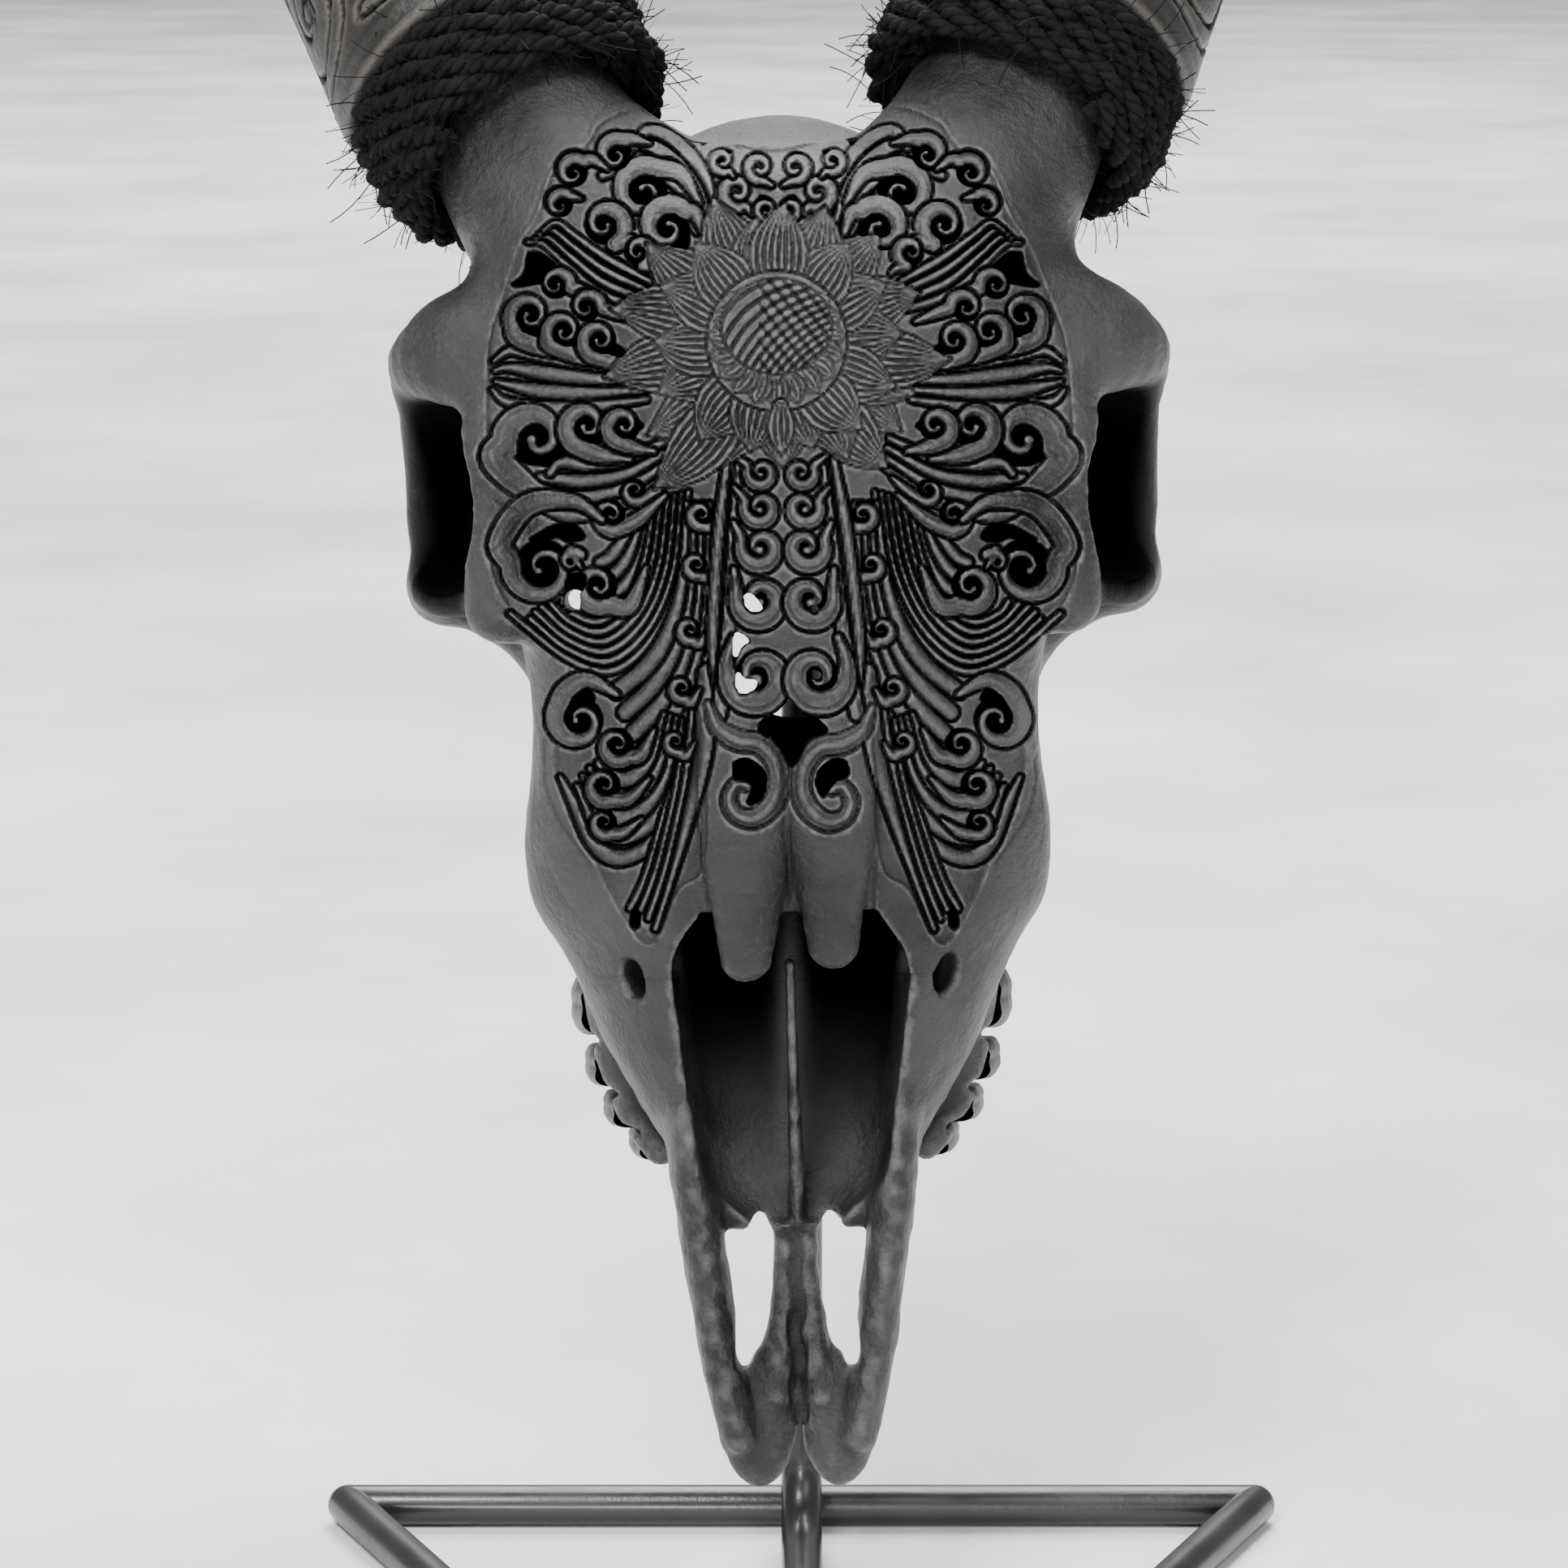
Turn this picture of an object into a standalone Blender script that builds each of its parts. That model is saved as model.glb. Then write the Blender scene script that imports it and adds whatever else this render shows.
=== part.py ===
"""Carved goat skull with horn sheaths and rope wraps, held by a rod on a triangular bar base.

World axes: +Z up, the face looks toward -Y. The origin is the middle of the rear bar's underside.
The skull is modelled in its own frame: X across, Y from the face backward, Z up the face,
with the muzzle tip at the frame's origin.
"""

import math

import bmesh
import bpy
import numpy as np
from mathutils import Matrix, Vector

MM = 0.001
GAP = 0.3 * MM
WELD_REACH = 0.01 * MM

# Clearances left round the pieces that stand in, or close round, another one
SOCKET_ROOM = 0.4 * MM
SHEATH_ROOM = 0.6 * MM
WRAP_ROOM = 0.7 * MM
ROD_ROOM = 0.7 * MM

SHARP_ANGLE = math.radians(40.0)

# Stand
BAR_RADIUS = 3.8 * MM
# A faceted bar's corners stand this much outside its flats, as a cope has to allow
COPE_SPREAD = 1.10
BASE_WIDTH = 172.0 * MM
BASE_DEPTH = 164.0 * MM
ROD_BEND = 14.0 * MM
BAR_BEVEL = 2

# The rod above its bend, as y and z in millimetres, up behind the palate and over into the skull
ROD_KNOTS = (
    (-8.6, 60.0),
    (-7.0, 100.0),
    (4.0, 140.0),
    (26.0, 174.0),
    (44.5, 197.0),
    (50.5, 211.0),
    (46.0, 222.5),
    (34.0, 226.0),
    (13.0, 223.5),
)

# Where the skull frame stands on the base
MUZZLE_FORWARD = 90.0 * MM
MUZZLE_HEIGHT = 44.0 * MM
MUZZLE_SIDE = -0.7 * MM
LEAN_BACK = math.radians(10.0)
ROLL = math.radians(-1.1)

# Skull solid
FORM_VOXEL = 1.6 * MM
FORM_SMOOTH_STEPS = 4
FORM_KEEP = 0.08
CUTTER_KEEP = 0.10
SKIN_VOXEL = 1.3 * MM
SKIN_SMOOTH_STEPS = 3
SKIN_KEEP = 0.0235

# Horn axes in the skull frame, by side: -1 is the left horn, +1 the right
HORN_ROOT = {-1.0: Vector((-25.0, 17.0, 199.5)) * MM, 1.0: Vector((24.0, 17.0, 201.0)) * MM}
HORN_AXIS = {-1.0: Vector((-0.47, 0.42, 0.78)).normalized(), 1.0: Vector((0.43, 0.42, 0.80)).normalized()}
HORN_SWEEP = Vector((0.10, 0.86, -0.50)).normalized()
NECK_LENGTH = 53.0 * MM
HORN_LENGTH = 250.0 * MM
HORN_RINGS = 21
GROWTH_RIPPLE = 0.018
HORN_BEND_RADIUS = 270.0 * MM
CORE_LENGTH = 95.0 * MM
CORE_ROOT_RADIUS = 21.0 * MM
CORE_NECK_RADIUS = 16.6 * MM
CORE_TIP_RADIUS = 4.0 * MM
SHEATH_RADIUS = 27.6 * MM
SHEATH_TIP_RADIUS = 2.2 * MM
SOCKET_LENGTH = 150.0 * MM

# Rope wrap
ROPE_START = 34.0 * MM
ROPE_END = NECK_LENGTH - GAP
ROPE_RADIUS = 28.0 * MM
ROPE_TURNS = 4

# Cheek teeth: half width, depth and height of each crown's middle, and its size
TOOTH_ROWS = (
    (24.8, 50.5, 51.4, 6.0, 5.6),
    (29.0, 51.5, 57.4, 6.8, 6.2),
    (31.8, 52.5, 65.2, 7.6, 7.4),
    (33.4, 53.5, 76.0, 9.0, 11.0),
    (33.6, 54.5, 90.0, 9.6, 13.0),
    (32.6, 55.5, 105.4, 9.6, 14.5),
)
CROWN_HEIGHT = 9.0 * MM
ROOT_DEPTH = 4.0 * MM


def clear_scene():
    for obj in list(bpy.data.objects):
        bpy.data.objects.remove(obj, do_unlink=True)


def new_collection(name):
    collection = bpy.data.collections.new(name)
    bpy.context.scene.collection.children.link(collection)
    return collection


def material(name, colour, roughness, metallic=0.0):
    mat = bpy.data.materials.new(name)
    mat.use_nodes = True
    shader = mat.node_tree.nodes["Principled BSDF"]
    shader.inputs["Base Color"].default_value = (*colour, 1.0)
    shader.inputs["Roughness"].default_value = roughness
    shader.inputs["Metallic"].default_value = metallic
    return mat


def add_object(name, mesh, collection, mat=None, parent=None):
    mesh.shade_smooth()
    mesh.set_sharp_from_angle(angle=SHARP_ANGLE)
    obj = bpy.data.objects.new(name, mesh)
    collection.objects.link(obj)
    if mat:
        mesh.materials.append(mat)
    obj.parent = parent
    return obj


def as_cutter(obj):
    obj.hide_render = True
    obj.display_type = "WIRE"
    return obj


def ellipsoid(bm, centre, radii, turn=(0.0, 0.0, 0.0), segments=24, rings=14):
    """Adds an ellipsoid to bm: centre and radii in millimetres, turn in degrees."""
    rotation = Matrix.Identity(4)
    for axis, angle in zip("XYZ", turn):
        rotation = Matrix.Rotation(math.radians(angle), 4, axis) @ rotation
    place = Matrix.Translation(Vector(centre) * MM) @ rotation
    place = place @ Matrix.Diagonal((*(Vector(radii) * MM), 1.0))
    bmesh.ops.create_uvsphere(bm, u_segments=segments, v_segments=rings, radius=1.0, matrix=place)


def ring_loft(bm, rings):
    """Skins a list of closed rings, each a list of points, and fans both ends to their middles."""
    rows = [[bm.verts.new(point) for point in ring] for ring in rings]
    count = len(rows[0])
    for low, high in zip(rows, rows[1:]):
        for i in range(count):
            j = (i + 1) % count
            bm.faces.new((low[i], low[j], high[j], high[i]))
    for row, flip in ((rows[0], True), (rows[-1], False)):
        middle = bm.verts.new(sum((v.co for v in row), Vector()) / count)
        for i in range(count):
            j = (i + 1) % count
            bm.faces.new((row[j], row[i], middle) if flip else (row[i], row[j], middle))


def tube(bm, points, radii, sides=14, squash=1.0):
    """A tapered tube through points, in millimetres, its second axis squashed."""
    path = [Vector(p) * MM for p in points]
    rings = []
    for index, centre in enumerate(path):
        ahead = path[min(index + 1, len(path) - 1)]
        behind = path[max(index - 1, 0)]
        along = (ahead - behind).normalized()
        side = along.cross(Vector((0.0, 1.0, 0.0))).normalized()
        up = side.cross(along).normalized()
        radius = radii[index] * MM
        rings.append(
            [
                centre + radius * (math.cos(a) * side + squash * math.sin(a) * up)
                for a in (math.tau * k / sides for k in range(sides))
            ]
        )
    before = set(bm.faces)
    ring_loft(bm, rings)
    bmesh.ops.recalc_face_normals(bm, faces=[f for f in bm.faces if f not in before])


def oval_ring(z, half_width, front, widest, back, front_power, back_power, sides=28):
    """One section of the face across Z: two half superellipses that meet at the widest depth."""
    points = []
    for k in range(sides):
        angle = math.tau * k / sides
        cos, sin = math.cos(angle), math.sin(angle)
        power = front_power if sin > 0 else back_power
        x = half_width * math.copysign(abs(cos) ** (2.0 / power), cos)
        reach = (widest - front) if sin > 0 else (back - widest)
        y = widest - math.copysign(reach * abs(sin) ** (2.0 / power), sin)
        points.append(Vector((x, y, z)) * MM)
    return points


def oval_loft(bm, sections):
    before = set(bm.faces)
    ring_loft(bm, [oval_ring(*section) for section in sections])
    bmesh.ops.recalc_face_normals(bm, faces=[f for f in bm.faces if f not in before])


# Skull

FACE_SECTIONS = (
    # z, half width, front, widest, back, front power, back power
    (39.0, 16.0, 27.0, 32.0, 38.0, 2.4, 2.6),
    (46.0, 19.0, 23.0, 31.0, 40.0, 2.4, 2.6),
    (54.0, 22.5, 19.0, 33.0, 46.0, 2.3, 3.0),
    (61.0, 27.0, 16.5, 36.0, 49.0, 2.1, 3.2),
    (70.0, 32.2, 14.0, 38.0, 51.0, 2.0, 3.2),
    (80.0, 36.3, 11.5, 38.0, 52.5, 1.9, 3.2),
    (88.0, 40.0, 9.2, 37.0, 53.0, 1.85, 3.0),
    (95.0, 44.2, 7.4, 35.0, 53.5, 1.75, 2.8),
    (106.0, 45.8, 4.8, 33.0, 54.0, 1.75, 2.6),
    (120.0, 44.2, 2.4, 31.0, 54.5, 1.85, 2.6),
    (132.0, 43.8, 0.6, 29.5, 55.0, 2.0, 2.6),
    (142.0, 45.5, -0.6, 29.0, 56.0, 2.1, 2.4),
    (152.0, 48.0, -1.6, 28.0, 58.0, 2.2, 2.2),
    (166.0, 50.0, -2.6, 27.0, 62.0, 2.4, 2.2),
    (180.0, 51.0, -3.2, 27.0, 66.0, 2.5, 2.2),
    (192.0, 49.0, -3.0, 28.0, 70.0, 2.5, 2.2),
    (203.0, 45.0, -1.4, 30.0, 72.0, 2.4, 2.2),
    (212.0, 38.0, 1.6, 33.0, 70.0, 2.3, 2.2),
    (220.0, 28.0, 7.0, 36.0, 64.0, 2.2, 2.2),
    (226.0, 14.0, 16.0, 38.0, 54.0, 2.0, 2.0),
)


def skull_body():
    """The outer form of the bone, as overlapping solids that the voxel remesh joins."""
    bm = bmesh.new()
    oval_loft(bm, FACE_SECTIONS)
    # Braincase, occiput and condyles
    ellipsoid(bm, (0.0, 50.0, 200.0), (33.0, 33.0, 33.5))
    ellipsoid(bm, (0.0, 72.0, 192.0), (29.0, 20.0, 26.0), (20.0, 0.0, 0.0))
    tube(bm, ((0.0, 68.0, 158.0), (0.0, 74.0, 168.0), (0.0, 80.0, 184.0)), (8.0, 11.0, 14.0))
    for side in (-1.0, 1.0):
        # Condyle, bulla and the hooked process beside it
        ellipsoid(bm, (side * 13.0, 90.0, 190.0), (7.5, 7.0, 11.0), (20.0, 0.0, side * -20.0))
        ellipsoid(bm, (side * 22.0, 84.0, 178.0), (7.0, 9.0, 9.0))
        tube(
            bm,
            [(side * x, y, z) for x, y, z in ((24, 86, 192), (26, 95, 184), (25, 101, 172))],
            (5.0, 4.0, 2.2),
        )
        # Horn root flaring out of the frontal bone
        neck = (HORN_ROOT[side] + HORN_AXIS[side] * 25.5 * MM) / MM
        flare = [(side * x, y, z) for x, y, z in ((17, 31, 190), (24, 29, 205), (31.5, 30.5, 215))]
        tube(bm, [*flare, neck], (20.0, 24.6, 21.4, 16.0), sides=20)
        # Brow over the orbit, its knob, and the bar that closes the orbit behind
        brow = ((34, 15, 191), (48, 16, 190.5), (57, 21, 190.5), (61.0, 30, 189), (61.5, 37, 186))
        tube(bm, [(side * x, y, z) for x, y, z in brow], (11.0, 9.5, 8.8, 7.2, 5.0), squash=0.8)
        bar = ((59, 34, 187), (59.5, 43, 178), (59.5, 46, 164), (59.5, 42, 151))
        tube(bm, [(side * x, y, z) for x, y, z in bar], (7.4, 7.2, 6.8, 5.8), squash=0.8)
        # Bone that slopes from the horn root down to the brow
        slope = ((35, 23, 209), (38.5, 21, 206), (46, 18, 199.5), (53, 18.5, 194))
        tube(bm, [(side * x, y, z) for x, y, z in slope], (7.0, 7.0, 7.0, 7.2))
        # Lower rim of the orbit and the cheekbone running back to the braincase
        rim = ((40, 18, 148), (50, 23, 151.0), (59.0, 31, 151), (60.5, 42, 152))
        tube(bm, [(side * x, y, z) for x, y, z in rim], (6.6, 5.0, 4.6, 5.0))
        lacrimal = ((46, 14, 183), (49, 12, 174), (49.5, 13, 162), (48, 16, 148))
        tube(bm, [(side * x, y, z) for x, y, z in lacrimal], (7.0, 4.5, 4.5, 6.0))
        arch = ((59, 44, 152), (58, 56, 164), (53, 64, 178), (42, 68, 192), (30, 66, 198))
        tube(bm, [(side * x, y, z) for x, y, z in arch], (5.0, 4.2, 4.0, 5.0, 8.0), squash=1.2)
        cheek = ((35, 36, 112), (36, 38, 130), (44, 40, 143), (54, 42, 149), (59, 44, 152))
        tube(bm, [(side * x, y, z) for x, y, z in cheek], (9.0, 8.0, 6.0, 5.4, 5.0))
        # Tooth-bearing ridge of the upper jaw and the wing beside the throat
        ridge = [(side * (x - 1.2), y - 6.5, z) for x, y, z, _, _ in TOOTH_ROWS]
        tube(bm, ridge, (3.8, 4.4, 5.2, 6.4, 7.0, 6.4), sides=12)
        wing = ((15, 52, 120), (14, 62, 134), (13, 70, 150), (13, 76, 166))
        tube(bm, [(side * x, y, z) for x, y, z in wing], (4.0, 3.4, 3.4, 4.0), squash=1.6)
        # Side rail of the muzzle, its lobed tip and the inner spine between the foramina
        rail = ((18.0, 27, 60), (17.0, 26, 46), (15.3, 26.5, 32), (13.0, 27.5, 16), (10.2, 29, 3))
        tube(bm, [(side * x, y, z) for x, y, z in rail], (4.8, 4.0, 3.8, 3.8, 3.6), squash=1.9)
        ellipsoid(bm, (side * 6.9, 30.5, 5.5), (6.6, 4.6, 12.0), (-6.0, 0.0, side * 6.0))
        spine = ((2.4, 34, 58), (2.0, 33, 40), (2.2, 32, 24), (4.4, 31, 10))
        tube(bm, [(side * x, y, z) for x, y, z in spine], (2.4, 2.1, 2.4, 3.6), squash=1.4)
    return bm


def nasal_bones():
    """Two long rounded tongues that roof the nasal cavity and overhang its opening."""
    bm = bmesh.new()
    tongues = (
        (-1.0, ((6.0, 7.0, 154), (7.0, 3.8, 132), (7.3, 4.0, 113), (7.1, 6.4, 101), (7.3, 9.2, 88.5))),
        (1.0, ((6.0, 7.0, 154), (7.0, 3.8, 132), (7.3, 4.0, 113), (7.2, 6.2, 102), (7.4, 8.8, 90.5))),
    )
    for side, points in tongues:
        path = [(side * x, y, z) for x, y, z in points]
        tube(bm, path, (4.0, 7.2, 7.7, 7.4, 4.4), sides=14, squash=0.55)
    return bm


def cavity_cutters():
    """Closed solids cut from the bone, by name."""
    cutters = {}

    def start(name):
        cutters[name] = bmesh.new()
        return cutters[name]

    oval_loft(
        start("nasal_opening_cut"),
        (
            (40.0, 8.0, 12.0, 20.0, 32.0, 2.4, 2.6),
            (46.0, 13.6, 0.0, 20.0, 34.5, 2.6, 3.0),
            (60.0, 17.2, 0.0, 20.0, 36.5, 2.6, 3.4),
            (76.0, 19.4, 0.0, 20.0, 37.5, 2.6, 3.6),
            (88.0, 20.0, 0.0, 20.0, 38.0, 2.6, 3.6),
            (96.0, 16.4, 2.0, 20.0, 38.0, 2.4, 3.6),
        ),
    )
    oval_loft(
        start("nasal_chamber_cut"),
        (
            (72.0, 12.0, 12.0, 24.0, 36.0, 2.4, 3.0),
            (84.0, 18.0, 10.5, 24.0, 38.0, 2.4, 3.4),
            (100.0, 22.5, 9.0, 24.0, 38.5, 2.3, 3.2),
            (120.0, 26.0, 6.0, 24.0, 39.5, 2.2, 3.0),
            (142.0, 25.0, 4.0, 23.0, 41.0, 2.2, 2.6),
            (160.0, 20.0, 4.0, 18.0, 32.0, 2.2, 2.2),
            (170.0, 10.0, 7.0, 15.0, 23.0, 2.0, 2.0),
        ),
    )
    tube(
        start("throat_cut"),
        ((0.0, 30.0, 136.0), (0.0, 46.0, 141.0), (0.0, 62.0, 142.0), (0.0, 92.0, 142.0)),
        (12.0, 13.0, 12.5, 13.0),
        sides=16,
    )
    ellipsoid(start("palate_vault_cut"), (0.0, 60.0, 92.0), (23.0, 18.0, 46.0), (4.0, 0.0, 0.0))
    brain = start("braincase_cut")
    ellipsoid(brain, (0.0, 52.0, 198.0), (27.0, 25.0, 23.0))
    tube(
        start("foramen_magnum_cut"),
        ((0.0, 64.0, 194.0), (0.0, 84.0, 199.0), (0.0, 112.0, 206.0)),
        (9.4, 9.6, 10.4),
        sides=16,
    )
    for side, label in ((-1.0, "left"), (1.0, "right")):
        orbit = start(f"{label}_orbit_cut")
        ellipsoid(orbit, (side * 57.0, 25.0, 167.0), (22.0, 16.5, 16.5), (0.0, 0.0, side * -22.0))
        fossa = start(f"{label}_temple_cut")
        ellipsoid(fossa, (side * 45.5, 56.0, 177.0), (8.0, 12.0, 13.0), (12.0, 0.0, side * 16.0))
        hole = start(f"{label}_incisive_cut")
        ellipsoid(hole, (side * 7.4, 29.0, 30.5), (3.7, 22.0, 11.5))
        ellipsoid(hole, (side * 8.6, 29.0, 22.0), (2.6, 22.0, 8.0))
        foramen = start(f"{label}_cheek_foramen_cut")
        ellipsoid(foramen, (side * 25.5, 22.0, 84.0), (2.2, 12.0, 3.6), (0.0, 0.0, side * 30.0))
    return cutters


def tooth_shape(bm, centre, width, length, grow=0.0, cusps=True):
    """A crown with two cusps over a short root: its biting end looks backward, along +Y."""
    half_x = width / 2 * MM + grow
    half_z = length / 2 * MM + grow
    rows = ((-ROOT_DEPTH - grow, 0.82), (0.0, 0.98), (0.55 * CROWN_HEIGHT, 1.0), (CROWN_HEIGHT, 0.8))
    if not cusps:
        rows = ((-ROOT_DEPTH - grow, 0.82), (0.0, 0.98), (0.55 * CROWN_HEIGHT, 1.0))
    sides = 8
    rings = []
    for depth, scale in rows:
        ring = []
        for k in range(sides):
            angle = math.tau * k / sides
            pinch = 1.0 - 0.12 * math.cos(2.0 * angle) if abs(math.cos(angle)) > 0.9 else 1.0
            x = half_x * scale * pinch * math.copysign(abs(math.cos(angle)) ** 0.7, math.cos(angle))
            z = half_z * scale * math.copysign(abs(math.sin(angle)) ** 0.7, math.sin(angle))
            wave = 0.0
            if cusps and depth == CROWN_HEIGHT:
                wave = 1.6 * MM * math.cos(2.0 * angle + 0.6)
            ring.append(centre + Vector((x, depth + wave, z)))
        rings.append(ring)
    ring_loft(bm, rings)
    bmesh.ops.recalc_face_normals(bm, faces=bm.faces)


def build_skull(parts, cuts, frame, mat):
    def mesh_of(name, bm):
        mesh = bpy.data.meshes.new(name)
        bm.to_mesh(mesh)
        bm.free()
        return mesh

    skull = add_object("skull", mesh_of("skull", skull_body()), parts, mat, frame)
    voxel_skin(skull, "join_forms", FORM_VOXEL, FORM_SMOOTH_STEPS, FORM_KEEP)

    def boolean(name, other, operation):
        modifier = skull.modifiers.new(name, "BOOLEAN")
        modifier.operation = operation
        modifier.object = other
        modifier.solver = "EXACT"
        modifier.use_self = operation == "UNION"

    for name, bm in cavity_cutters().items():
        cutter = as_cutter(add_object(name, mesh_of(name, bm), cuts, None, frame))
        if name.endswith("incisive_cut"):
            voxel_skin(cutter, "join_forms", FORM_VOXEL, 1, CUTTER_KEEP)
        boolean(name, cutter, "DIFFERENCE")
    roof = as_cutter(add_object("nasal_bones", mesh_of("nasal_bones", nasal_bones()), cuts, None, frame))
    voxel_skin(roof, "join_forms", FORM_VOXEL, 1, CUTTER_KEEP)
    boolean("nasal_bones", roof, "UNION")
    voxel_skin(skull, "even_skin", SKIN_VOXEL, SKIN_SMOOTH_STEPS, SKIN_KEEP)
    for side, label in ((-1.0, "left"), (1.0, "right")):
        bm = bmesh.new()
        core_loft(bm, side)
        core = as_cutter(add_object(f"{label}_horn_core", mesh_of("core", bm), cuts, None, frame))
        boolean(f"{label}_horn_core", core, "UNION")
    return skull


def voxel_skin(obj, name, voxel, smooth_steps, keep):
    """Joins an object's overlapping forms in one even skin, softens it and thins its faces out."""
    remesh = obj.modifiers.new(name, "REMESH")
    remesh.mode = "VOXEL"
    remesh.voxel_size = voxel
    remesh.use_smooth_shade = True
    smooth = obj.modifiers.new(f"{name}_soften", "SMOOTH")
    smooth.factor = 0.5
    smooth.iterations = smooth_steps
    fewer = obj.modifiers.new(f"{name}_fewer_faces", "DECIMATE")
    fewer.ratio = keep


def build_teeth(parts, cuts, frame, mat, skull):
    for side, label in ((-1.0, "left"), (1.0, "right")):
        for index, (x, y, z, width, length) in enumerate(TOOTH_ROWS, start=1):
            centre = Vector((side * x, y, z)) * MM
            bm = bmesh.new()
            tooth_shape(bm, centre, width, length)
            mesh = bpy.data.meshes.new(f"{label}_tooth_{index}")
            bm.to_mesh(mesh)
            bm.free()
            add_object(f"{label}_tooth_{index}", mesh, parts, mat, frame)
            bm = bmesh.new()
            tooth_shape(bm, centre, width, length, grow=SOCKET_ROOM, cusps=False)
            mesh = bpy.data.meshes.new(f"{label}_socket_{index}")
            bm.to_mesh(mesh)
            bm.free()
            socket = as_cutter(add_object(f"{label}_socket_{index}", mesh, cuts, None, frame))
            cut = skull.modifiers.new(f"{label}_socket_{index}", "BOOLEAN")
            cut.operation = "DIFFERENCE"
            cut.object = socket
            cut.solver = "EXACT"


# Horns

def horn_path(side, distance):
    """Point and direction on the horn's middle line, and the way it bends, from the horn's root."""
    axis = HORN_AXIS[side]
    sweep = Vector((side * HORN_SWEEP.x, HORN_SWEEP.y, HORN_SWEEP.z))
    bend = (sweep - axis * sweep.dot(axis)).normalized()
    if distance <= NECK_LENGTH:
        return HORN_ROOT[side] + axis * distance, axis, bend
    start = HORN_ROOT[side] + axis * NECK_LENGTH
    angle = (distance - NECK_LENGTH) / HORN_BEND_RADIUS
    forward = axis * math.cos(angle) + bend * math.sin(angle)
    place = start + HORN_BEND_RADIUS * (axis * math.sin(angle) + bend * (1.0 - math.cos(angle)))
    return place, forward, bend


def horn_ring(side, distance, radius, sides, keel=0.0, flat=0.0):
    """A section across the horn. keel draws its front edge out, flat narrows it sideways."""
    centre, along, bend = horn_path(side, distance)
    across = along.cross(bend).normalized()
    front = across.cross(along).normalized()
    if front.y > 0:
        front.negate()
    ring = []
    for k in range(sides):
        angle = math.tau * k / sides
        edge = max(0.0, math.cos(angle)) ** 4
        reach = radius * (1.0 + keel * edge)
        point = centre + front * reach * math.cos(angle)
        ring.append(point + across * reach * (1.0 - flat) * math.sin(angle))
    return ring


def core_radius(distance):
    if distance <= NECK_LENGTH:
        return CORE_ROOT_RADIUS + (CORE_NECK_RADIUS - CORE_ROOT_RADIUS) * distance / NECK_LENGTH
    along = (distance - NECK_LENGTH) / CORE_LENGTH
    return CORE_NECK_RADIUS + (CORE_TIP_RADIUS - CORE_NECK_RADIUS) * along


def core_loft(bm, side):
    neck = np.linspace(0.0, NECK_LENGTH, 4)
    tip = np.linspace(NECK_LENGTH, NECK_LENGTH + CORE_LENGTH, 6)
    sections = [*neck, *tip[1:]]
    ring_loft(bm, [horn_ring(side, s, core_radius(s), 16) for s in sections])
    bmesh.ops.recalc_face_normals(bm, faces=bm.faces)


def sheath_radius(along):
    """along runs from 0 at the rim to 1 at the tip."""
    taper = (1.0 - along) ** 0.85
    return SHEATH_TIP_RADIUS + (SHEATH_RADIUS - SHEATH_TIP_RADIUS) * taper


def build_horn(side, label, parts, cuts, frame, mat):
    bm = bmesh.new()
    rings = []
    count = HORN_RINGS
    for k in range(count):
        along = k / (count - 1)
        growth = 1.0 + (GROWTH_RIPPLE if k % 2 else -GROWTH_RIPPLE) * (1.0 if 2 < k < count - 3 else 0.0)
        shape = min(1.0, along * 2.5)
        rings.append(
            horn_ring(
                side,
                NECK_LENGTH + along * HORN_LENGTH,
                sheath_radius(along) * growth,
                16,
                keel=0.16 * shape,
                flat=0.18 * shape,
            )
        )
    ring_loft(bm, rings)
    bmesh.ops.recalc_face_normals(bm, faces=bm.faces)
    mesh = bpy.data.meshes.new(f"{label}_horn")
    bm.to_mesh(mesh)
    bm.free()
    horn = add_object(f"{label}_horn", mesh, parts, mat, frame)
    bm = bmesh.new()
    steps = np.linspace(-4.0 * MM, SOCKET_LENGTH, 7)
    rings = []
    for step in steps:
        core = core_radius(NECK_LENGTH + min(step, CORE_LENGTH)) + SHEATH_ROOM
        room = 0.62 * sheath_radius(max(step, 0.0) / HORN_LENGTH)
        rings.append(horn_ring(side, NECK_LENGTH + step, max(core, room), 12))
    ring_loft(bm, rings)
    bmesh.ops.recalc_face_normals(bm, faces=bm.faces)
    mesh = bpy.data.meshes.new(f"{label}_horn_socket")
    bm.to_mesh(mesh)
    bm.free()
    socket = as_cutter(add_object(f"{label}_horn_socket", mesh, cuts, None, frame))
    hollow = horn.modifiers.new("socket", "BOOLEAN")
    hollow.operation = "DIFFERENCE"
    hollow.object = socket
    hollow.solver = "EXACT"


# Rope wraps

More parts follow.
